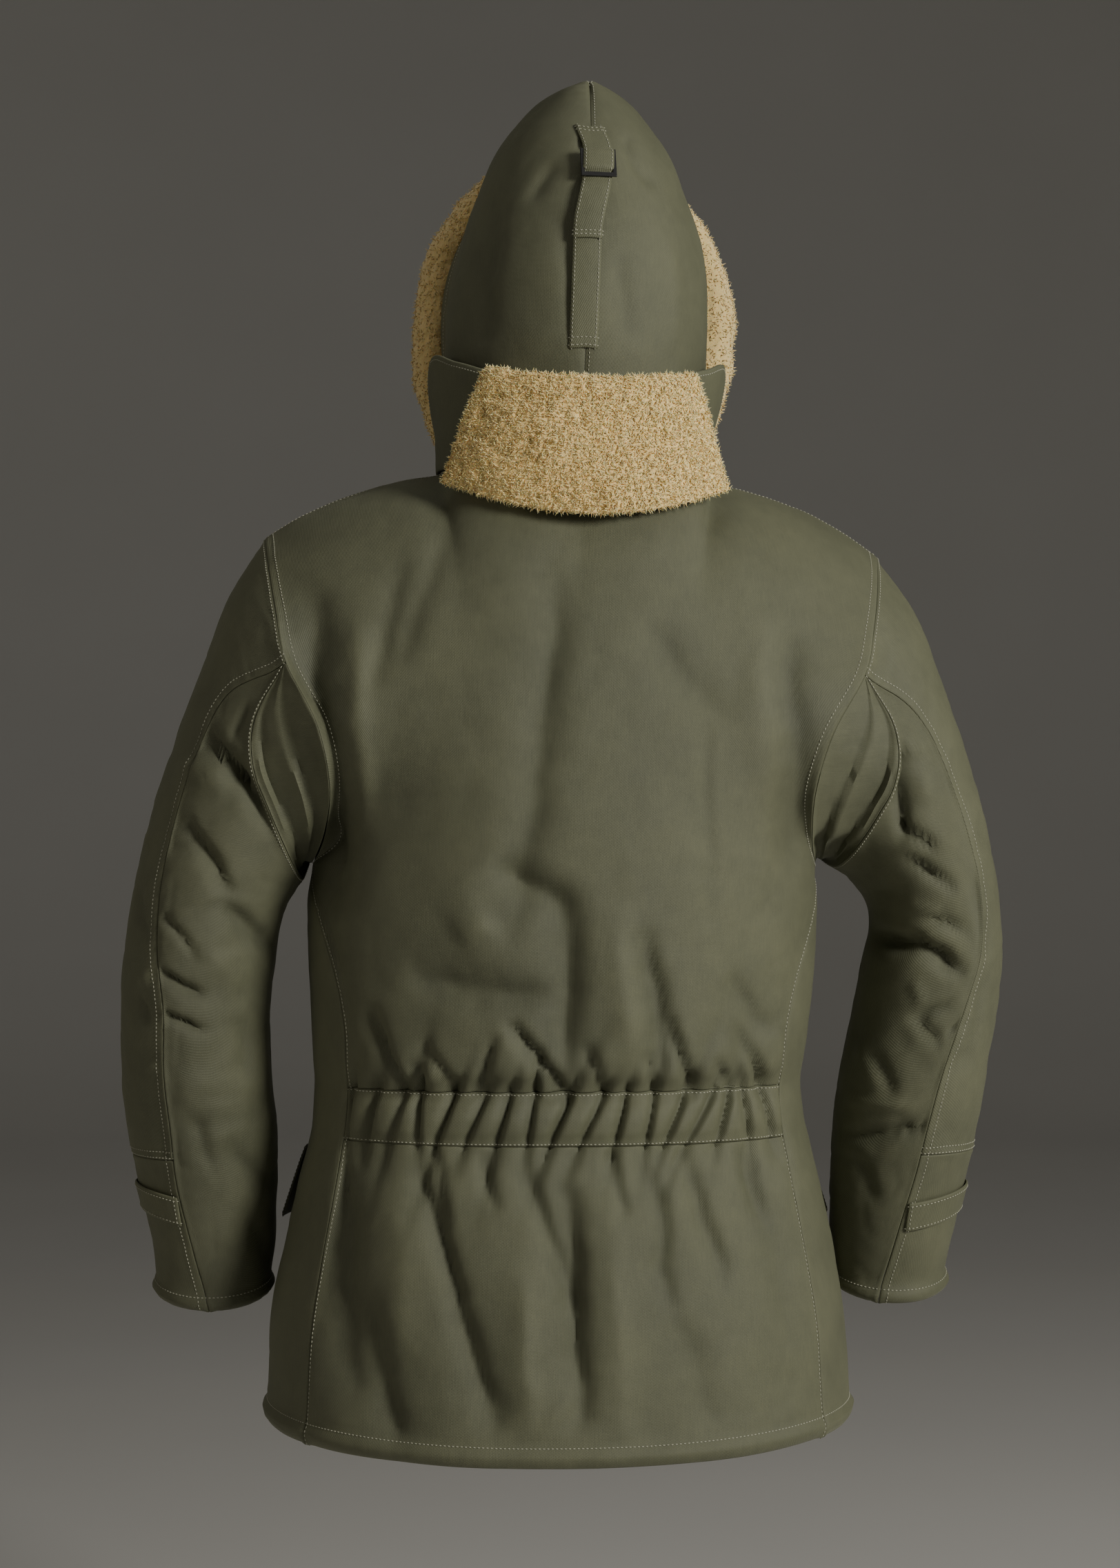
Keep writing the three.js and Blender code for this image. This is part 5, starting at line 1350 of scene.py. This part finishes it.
def tuft(name, tall, wide, bend):
    """One curl of pile: a bent, tapering lock of a dozen faces."""
    sides, rings = 3, 2
    vertices, faces, tip = [], [], []
    for k in range(rings + 1):
        t = k / rings
        out = bend * tall * t * t
        radius = wide / 2 * (1 - 0.75 * t**1.4) * (0.8 + 0.5 * math.sin(math.pi * t))
        for side in range(sides):
            turn = 2 * math.pi * side / sides + 1.1 * t
            x, y = out + radius * math.cos(turn), radius * math.sin(turn)
            vertices.append((x, y, tall * (t - 0.12 * t * t) - 0.4))
            tip.append(t)
    for k in range(rings):
        for side in range(sides):
            low, following = k * sides, (side + 1) % sides
            faces.append((low + side, low + following, low + sides + following, low + sides + side))
    faces.append(tuple(reversed(range(sides))))
    faces.append(tuple(range(rings * sides, rings * sides + sides)))
    mesh = bpy.data.meshes.new(name)
    mesh.from_pydata([tuple(c * MM for c in vertex) for vertex in vertices], [], faces)
    # tip runs from 0 at the root to 1 at the end; the pile's finish paints shade towards the roots with it.
    mesh.attributes.new("tip", "FLOAT", "POINT").data.foreach_set("value", tip)
    mesh.shade_smooth()
    return in_scene(name, mesh)


def grow_pile(name, grid, material, wide, bend, density, seed, closed=False):
    """Grows pile on a grid of points, as one object."""
    lock = tuft(name + "_lock", PILE_TALL, wide, bend)
    mesh = bpy.data.meshes.new(name + "_skin")
    mesh.from_pydata((grid.reshape(-1, 3) * MM).tolist(), [], grid_quads(*grid.shape[:2], closed).tolist())
    made = grow(name, in_scene(name + "_skin", mesh), tuft_tree(), Tuft=lock, Density=density,
                Tuft_Size=1.0, Lean=PILE_LEAN, Seed=seed, Material=finish(material))
    bpy.data.objects.remove(lock, do_unlink=True)
    attach(made, "shearling")
    return made


class PARKA_OT_collar(PartOperator, bpy.types.Operator):
    """Makes the collar's stand and its shearling fall"""

    bl_idname = "parka.collar"
    bl_label = "Collar"

    def make(self, context):
        piece("collar_stand", collar_point, (-COLLAR_END, COLLAR_END), (0, 1), rests_on=("back_panel_cloth",),
              step=4.0, relief=small_relief, lift=stand_lift, seed=27, rims=(1.1, 1.1, 0.6, 1.2))
        fall = cloth("collar_fall", fall_point, (-1, 1), (0, 1), finish("collar_shearling"), step=1.65,
                     thick=FALL_THICK - 3, relief=curl_relief, calm=(0, 0, 0, 0), rims=(3.5, 3.5, 3.5, 3.5),
                     lift=lambda grid: -2.6, seed=29)
        attach(fall.object, "shearling", "collar_fur")
        density = context.scene.parka_sizes.collar_density
        pile = grow_pile("collar_fall_pile", fall.outer, "collar_shearling", 1.15, 0.9, density, 4)
        declare(fall)


FUR_STATIONS = 300
FUR_SIDES = 64


def fur_ring():
    """The face trim as rings of points round the hood's opening."""
    s = np.linspace(0, 2, FUR_STATIONS, endpoint=False)
    turn = np.linspace(0, 2 * np.pi, FUR_SIDES, endpoint=False)
    along = np.where(s <= 1, s, 2 - s)
    edge = hood_point(np.ones_like(along), mix(FUR_START, 1, along))
    edge = edge * points(np.where(s <= 1, 1.0, -1.0), 1.0, 1.0)
    edge[0, 0] = 0
    ends = hood_point(np.array([1.0, 1.0]), np.array([FUR_START, 1.0]))
    centre = ends.mean(axis=0)
    ahead = (ends[1] - ends[0]) * (0, 1, 1)
    ahead = np.array([0, ahead[2], -ahead[1]]) / np.linalg.norm(ahead)
    out = edge - centre
    out = out - np.outer(out @ ahead, ahead)
    out = out / np.linalg.norm(out, axis=-1, keepdims=True)
    # A ring's own section, kept inside the frame's eight-sided one
    reach = mix(-FUR_IN, FUR_OUT, (1 + 0.9 * np.cos(turn)) / 2)
    front = 2 * CLEAR + FUR_FORWARD * (1 + 0.9 * np.sin(turn)) / 2
    ring = edge[:, None] + out[:, None] * reach[:, None] + ahead * front[:, None]
    return ring + points(FUR_SHIFT * np.sin(np.pi * along), 0.0, 0.0)[:, None]


class PARKA_OT_trim(PartOperator, bpy.types.Operator):
    """Makes the shearling ring round the hood's face opening"""

    bl_idname = "parka.trim"
    bl_label = "Hood trim"

    def make(self, context):
        ring = fur_ring()
        out = ring - ring.mean(axis=1, keepdims=True)
        out = out / np.linalg.norm(out, axis=-1, keepdims=True)
        bent = ring + 2.5 * noise(ring, 9, 84)[..., None]
        lumps = 1 - np.abs(noise(bent, 7.0, 82))
        curls = 1 - np.abs(noise(bent, 3.9, 83))
        height = 1.8 * noise(ring, 22, 81) + 1.5 * lumps + 0.9 * curls - 2.4
        ring = lean(ring + out * height[..., None])
        quads = grid_quads(*ring.shape[:2], closed=True)
        made = new_object("hood_trim", ring.reshape(-1, 3), quads, finish("hood_shearling"))
        attach(made, "shearling", "hood_fur_trim")
        density = context.scene.parka_sizes.trim_density
        grow_pile("hood_trim_pile", ring, "hood_shearling", 1.2, 0.8, density, 6, closed=True)


class PARKA_OT_strap(PartOperator, bpy.types.Operator):
    """Makes the hood's strap, its tab and loose end, and the slide buckle"""

    bl_idname = "parka.strap"
    bl_label = "Hood strap"

    def make(self, context):
        shared = {"finish_name": "strap_twill", "step": 2.2, "thick": TRIM, "relief": small_relief,
                  "rests_on": ("hood_right_cloth", "hood_left_cloth"), "calm": (3, 3, 0, 0), "held": "laid"}
        for part, rows, lift, seed in (
            ("long", (0.345, 0.77), trim_lift, 33),
            ("tab", (0.785, 0.87), trim_lift, 35),
            ("end", (0.59, 0.7935), loop_lift, 37),
        ):
            if part == "end":
                shared.update(rests_on=("strap_long_cloth",), step=1.4)
            piece(f"strap_{part}", strap_point, (-1, 1), rows, node=f"hood_strap_{part}", lift=lift,
                  seed=seed, **shared)
        vertices, faces = buckle_mesh()
        vertices = seat(vertices, strap_point, 0.0, BUCKLE_ROW, BUCKLE_LIFT)
        made = new_object("slide_buckle", vertices, faces, finish("black_buckle_metal"))
        attach(made, "black_metal", "hood_buckle")


def seat(vertices, place, u, v, lift, turn=1, mirror=1):
    """Moves a hard piece's points onto a surface: its own Z axis is the surface's outward direction."""

    def at(du, dv):
        return lean(place(np.array([u + du]), np.array([v + dv])) * (mirror, 1, 1))[0]

    spot = at(0, 0)
    along = (at(0.001, 0) - spot) / np.linalg.norm(at(0.001, 0) - spot)
    out = np.cross(along, at(0, 0.001) - spot) * turn * mirror
    out = out / np.linalg.norm(out)
    return spot + out * lift + vertices @ np.stack([along, np.cross(out, along), out])


def buckle_mesh():
    """The slide buckle: a plate with rounded edges and two slots, as a closed mesh of quads."""
    xs = np.array([-14.6, -13.8, -11.8, -9, -3, 3, 9, 11.8, 13.8, 14.6])
    ys = np.array([-13, -12.2, -9.5, -8.2, -3.8, -2.5, 2.5, 3.8, 8.2, 9.5, 12.2, 13.0])
    holes = {(i, j) for i in range(2, 7) for j in (2, 3, 4, 6, 7, 8)}
    levels = (0.0, 0.4, 1.5, TRIM)
    vertices, index = [], {}

    def corner(i, j, level):
        key = (i, j, level)
        if key not in index:
            index[key] = len(vertices)
            inset = 0.4 if level in (0, 3) else 0.0
            x = xs[i] - math.copysign(inset, xs[i]) * (i in (0, 9))
            y = ys[j] - math.copysign(inset, ys[j]) * (j in (0, 11))
            vertices.append((x, y, levels[level]))
        return index[key]

    faces = []
    solid = [(i, j) for i in range(9) for j in range(11) if (i, j) not in holes]
    for i, j in solid:
        faces.append([corner(i, j, 3), corner(i + 1, j, 3), corner(i + 1, j + 1, 3), corner(i, j + 1, 3)])
        faces.append([corner(i, j + 1, 0), corner(i + 1, j + 1, 0), corner(i + 1, j, 0), corner(i, j, 0)])
        for (di, dj), (a, b) in {
            (0, -1): ((i, j), (i + 1, j)), (1, 0): ((i + 1, j), (i + 1, j + 1)),
            (0, 1): ((i + 1, j + 1), (i, j + 1)), (-1, 0): ((i, j + 1), (i, j)),
        }.items():
            if (i + di, j + dj) not in solid:
                for k in range(3):
                    faces.append([corner(*a, k), corner(*b, k), corner(*b, k + 1), corner(*a, k + 1)])
    return np.array(vertices), np.array(faces)


BUTTON_SEGMENTS = 32
HOLE_PLACES = (-2.2, 2.2)


def button_points():
    """Points and quads of a four-hole button: a rim, a dish, and sewing holes sunk into the dish."""
    profile = [(0.35, 0.0), (6.0, 0.0), (9.4, 0.25), (10.0, 1.2), (9.8, 2.4), (9.0, 3.0), (7.9, 2.85),
               (6.9, 2.2), (5.6, 2.0), (4.6, 1.95), (3.9, 1.95), (3.2, 1.95), (2.5, 1.95), (1.6, 1.95),
               (0.35, 1.95)]
    turn = np.linspace(0, 2 * np.pi, BUTTON_SEGMENTS, endpoint=False)
    rings = []
    for radius, z in profile:
        x, y = radius * np.cos(turn), radius * np.sin(turn)
        hole = np.minimum.reduce([np.hypot(x - hx, y - hy) for hx in HOLE_PLACES for hy in HOLE_PLACES])
        sink = 1.3 * (1 - ramp(hole, 0.55, 1.05)) if z > 1.9 and radius < 5 else 0.0
        rings.append(points(x, y, z - sink))
    return np.concatenate(rings), grid_quads(len(profile), BUTTON_SEGMENTS, closed=True)


class PARKA_OT_buttons(PartOperator, bpy.types.Operator):
    """Makes the horn buttons of the fly, the pockets and the cuffs"""

    bl_idname = "parka.buttons"
    bl_label = "Buttons"

    def make(self, context):
        spots = [(f"fly_button_{k + 1}", (fly_place, 0.35, z, BUTTON_LIFT, -1, 1))
                 for k, z in enumerate((-90, -215, -340, -465, -590))]
        for name, side in SIDES:
            tab = partial(tab_place, side)
            spots.append((f"pocket_button_{name}", (pocket_place, 127, -620, BUTTON_LIFT + 6, 1, side)))
            spots.append((f"cuff_button_{name}", (tab, -56, 0, BUTTON_LIFT, 1, side)))
        vertices, faces = button_points()
        for name, (place, u, v, lift, turn, mirror) in spots:
            made = new_object(name + "_horn", seat(vertices, place, u, v, lift, turn, mirror), faces,
                              finish("dark_horn"))
            attach(made, "dark_button", name)


class PARKA_OT_stitching(PartOperator, bpy.types.Operator):
    """Lays the rows of topstitching beside the seams, hems and edges"""

    bl_idname = "parka.stitching"
    bl_label = "Stitching"

    def make(self, context):
        def along(name, *rows):
            sheet = sheet_named(name)
            return [line_beside(sheet, *row) for row in rows]

        body = along("back_waistband_cloth", (2, 1.6), (3, 1.6))
        body += along("back_panel_cloth", (0, 8.0, (0.38, 1.0)), (1, 8.0, (0.38, 1.0)), (3, 5.0),
                      (0, 2.2, (0, 0.37)), (1, 2.2, (0, 0.37)))
        body += along("back_skirt_cloth", (2, 19.0), (0, 2.2), (1, 2.2))
        for side, _ in SIDES:
            body += along(f"front_{side}_cloth", (2, 19.0), (3, 5.0))
            body += along(f"pocket_{side}_cloth", (0, 2.5), (1, 2.5), (2, 2.5))
            body += along(f"pocket_flap_{side}_cloth", (0, 2.5), (1, 2.5), (2, 2.5), (3, 2.5))
        body += along("front_fly_cloth", (0, 3.0), (1, 3.0))
        sew("body_stitching", body)
        arms = []
        for side, _ in SIDES:
            arms += along(f"sleeve_outer_{side}_cloth", (1, 7.0), (2, 2.0), (3, 2.0), (3, 7.0))
            arms += along(f"sleeve_end_{side}_cloth", (1, 7.0), (3, 15.0))
            arms += along(f"sleeve_under_{side}_cloth", (2, 2.2), (3, 15.0))
            arms += along(f"cuff_tab_{side}_cloth", (0, 3.0), (1, 3.0), (2, 3.0), (3, 3.0))
        sew("sleeve_stitching", arms)
        head = along("hood_right_cloth", (0, 3.2))
        for side, _ in SIDES:
            head += along(f"hood_{side}_cloth", (3, 3.0), (1, 12.0, (0.12, 1.0)))
        head += along("strap_long_cloth", (0, 2.2), (1, 2.2), (2, 3.0), (2, 9.0))
        head += along("strap_tab_cloth", (0, 2.2), (1, 2.2), (3, 3.0), (3, 6.5))
        head += along("strap_end_cloth", (0, 2.2), (1, 2.2), (2, 3.0), (2, 6.0))
        head += along("collar_stand_cloth", (3, 4.0))
        sew("hood_stitching", head)


FLOOR_SIDES = 96
FLOOR_ROUND = 6
FLOOR_BEND = 3
LIGHT_AIM = Vector((0, 0, -0.4))
LIGHTS = {
    "key": ((2.2, -2.1, 0.7), 1.0, (1.0, 0.975, 0.92)),
    "fill": ((-2.7, -1.2, 0.5), 1.6, (1.0, 0.93, 0.8)),
    "top": ((0.2, -0.6, 2.6), 1.6, (1.0, 0.98, 0.95)),
}
ROOM_COLOUR = (1.0, 0.985, 0.96, 1)
CAMERA_SHIFT = 0.011


def floor_mesh(height):
    """A round floor, in metres, that bends up into a wall."""
    profile = [(radius, 0.0) for radius in (0.02, 1, 2, 4, FLOOR_ROUND)]
    for angle in (0.3, 0.6, 0.9, 1.2, 1.5):
        rise = FLOOR_BEND - FLOOR_BEND * math.cos(angle)
        profile.append((FLOOR_ROUND + FLOOR_BEND * math.sin(angle), rise))
    profile += [(9, 4.5), (9, 9)]
    vertices, faces = [], []
    for radius, z in profile:
        for k in range(FLOOR_SIDES):
            turn = 2 * math.pi * k / FLOOR_SIDES
            vertices.append((radius * math.cos(turn), radius * math.sin(turn), z + height))
    for ring in range(len(profile) - 1):
        for k in range(FLOOR_SIDES):
            a, b = ring * FLOOR_SIDES + k, ring * FLOOR_SIDES + (k + 1) % FLOOR_SIDES
            faces.append((a, b, b + FLOOR_SIDES, a + FLOOR_SIDES))
    faces.append(tuple(range(FLOOR_SIDES - 1, -1, -1)))
    mesh = bpy.data.meshes.new("studio_floor")
    mesh.from_pydata(vertices, [], faces)
    mesh.shade_smooth()
    return mesh


class PARKA_OT_stage(PartOperator, bpy.types.Operator):
    """Sets the pale floor, the soft studio light and the camera at the photo's angle"""

    bl_idname = "parka.stage"
    bl_label = "Stage"

    def make(self, context):
        stage = context.scene.parka_stage
        mesh = floor_mesh(stage.floor)
        mesh.materials.append(floor_finish(tuple(stage.floor_colour)))
        in_scene("studio_floor", mesh)
        world = bpy.data.worlds.new("soft_room")
        context.scene.world = world
        world.use_nodes = True
        background = world.node_tree.nodes["Background"]
        background.inputs["Color"].default_value = ROOM_COLOUR
        background.inputs["Strength"].default_value = stage.room
        for name, (place, size, colour) in LIGHTS.items():
            light = bpy.data.lights.new(name, "AREA")
            light.shape, light.size = "DISK", size
            light.energy, light.color = getattr(stage, name), colour
            lamp = in_scene(name, light)
            lamp.location = place
            lamp.rotation_euler = (LIGHT_AIM - Vector(place)).to_track_quat("-Z", "Y").to_euler()
        turn = math.radians(stage.azimuth)
        eye = Vector((math.sin(turn), -math.cos(turn), 0)) * stage.distance
        look = Vector((-math.sin(turn), math.cos(turn), 0))
        left = Vector((-math.cos(turn), -math.sin(turn), 0))
        camera = bpy.data.cameras.new("camera")
        camera.lens = stage.lens
        camera.sensor_width = 36
        camera.clip_start = 0.1
        view = in_scene("camera", camera)
        view.location = eye + left * CAMERA_SHIFT + Vector((0, 0, stage.height))
        view.rotation_euler = look.to_track_quat("-Z", "Y").to_euler()
        context.scene.camera = view


# Settings, panel and registration
class ParkaSizes(bpy.types.PropertyGroup):
    step: FloatProperty(
        name="Mesh step", description="Distance between the cloth's vertices",
        default=0.0043, min=0.002, unit="LENGTH", subtype="DISTANCE")
    stitch_pitch: FloatProperty(
        name="Stitch pitch", description="Distance from one stitch to the next",
        default=0.0034, min=0.002, unit="LENGTH", subtype="DISTANCE")
    thread: FloatProperty(
        name="Thread", description="Width of the sewing thread",
        default=0.00095, min=0.0003, unit="LENGTH", subtype="DISTANCE")
    collar_density: FloatProperty(
        name="Collar pile", description="Locks of pile on a square metre of the fall",
        default=470000.0, min=1000.0)
    trim_density: FloatProperty(
        name="Trim pile", description="Locks of pile on a square metre of the face trim",
        default=108000.0, min=1000.0)


class ParkaFinishes(bpy.types.PropertyGroup):
    shell: FloatVectorProperty(
        name="Shell", description="Olive of the sateen",
        default=(0.1, 0.104, 0.061), size=3, subtype="COLOR", min=0, max=1)
    pile: FloatVectorProperty(
        name="Pile", description="Cream of the shearling",
        default=(0.93, 0.72, 0.33), size=3, subtype="COLOR", min=0, max=1)
    # Darkest stop of the pile's ramp: random tan patches, and painted shade down between the curls.
    pile_tan_and_shade: FloatVectorProperty(
        name="Pile, deep", description="Tan between the curls",
        default=(0.66, 0.46, 0.18), size=3, subtype="COLOR", min=0, max=1)
    thread: FloatVectorProperty(
        name="Thread", description="Sage of the sewing thread",
        default=(0.34, 0.34, 0.26), size=3, subtype="COLOR", min=0, max=1)
    metal: FloatVectorProperty(
        name="Buckle", description="Black paint of the buckle",
        default=(0.012, 0.012, 0.012), size=3, subtype="COLOR", min=0, max=1)
    horn: FloatVectorProperty(
        name="Buttons", description="Dark horn of the buttons",
        default=(0.035, 0.022, 0.014), size=3, subtype="COLOR", min=0, max=1)
    weave: FloatProperty(
        name="Weave", description="Distance between the twill's ridges",
        default=0.0011, min=0.0003, unit="LENGTH", subtype="DISTANCE")


class ParkaStage(bpy.types.PropertyGroup):
    floor: FloatProperty(
        name="Floor", description="Height of the floor", default=-1.3, unit="LENGTH", subtype="DISTANCE")
    floor_colour: FloatVectorProperty(
        name="Floor colour", description="Pale grey of the floor",
        default=(0.62, 0.61, 0.58), size=3, subtype="COLOR", min=0, max=1)
    distance: FloatProperty(
        name="Camera distance", description="Distance from the parka's middle to the camera",
        default=2.4, unit="LENGTH", subtype="DISTANCE")
    height: FloatProperty(
        name="Camera height", description="Height of the camera over the neckline",
        default=-0.265, unit="LENGTH", subtype="DISTANCE")
    azimuth: FloatProperty(
        name="Camera turn", description="Turn of the camera round the parka, in degrees", default=-3.5)
    lens: FloatProperty(name="Lens", description="Focal length in millimetres", default=65.2)
    room: FloatProperty(name="Room light", description="Strength of the pale surroundings", default=0.06)
    key: FloatProperty(name="Key light", description="Power of the key light, in watts", default=104.0)
    fill: FloatProperty(name="Fill light", description="Power of the fill light, in watts", default=11.0)
    top: FloatProperty(name="Top light", description="Power of the top light, in watts", default=9.0)


class PARKA_PT_panel(bpy.types.Panel):
    """Lists the parka's operators and their settings"""

    bl_idname = "PARKA_PT_panel"
    bl_label = "Parka"
    bl_space_type = "VIEW_3D"
    bl_region_type = "UI"
    bl_category = "Parka"

    def draw(self, context):
        for operator in OPERATORS:
            self.layout.operator(operator.bl_idname)
        for group in ("parka_sizes", "parka_finishes", "parka_stage"):
            settings = getattr(context.scene, group)
            box = self.layout.box()
            for name in settings.bl_rna.properties.keys():
                if name not in ("rna_type", "name"):
                    box.prop(settings, name)


OPERATORS = (PARKA_OT_back, PARKA_OT_fronts, PARKA_OT_sleeves, PARKA_OT_hood, PARKA_OT_collar, PARKA_OT_trim,
             PARKA_OT_strap, PARKA_OT_buttons, PARKA_OT_stitching, PARKA_OT_stage)
GROUPS = {"parka_sizes": ParkaSizes, "parka_finishes": ParkaFinishes, "parka_stage": ParkaStage}


def register():
    for cls in (*GROUPS.values(), *OPERATORS, PARKA_PT_panel):
        bpy.utils.register_class(cls)
    for name, group in GROUPS.items():
        setattr(bpy.types.Scene, name, PointerProperty(type=group))


def unregister():
    for name in GROUPS:
        delattr(bpy.types.Scene, name)
    for cls in (PARKA_PT_panel, *reversed(OPERATORS), *reversed(GROUPS.values())):
        bpy.utils.unregister_class(cls)


def main():
    """Builds the whole parka over the frame."""
    register()
    bpy.ops.parka.back()
    bpy.ops.parka.fronts()
    bpy.ops.parka.sleeves()
    bpy.ops.parka.hood()
    bpy.ops.parka.collar()
    bpy.ops.parka.trim()
    bpy.ops.parka.strap()
    bpy.ops.parka.buttons()
    bpy.ops.parka.stitching()
    bpy.ops.parka.stage()


if __name__ == "__main__":
    main()
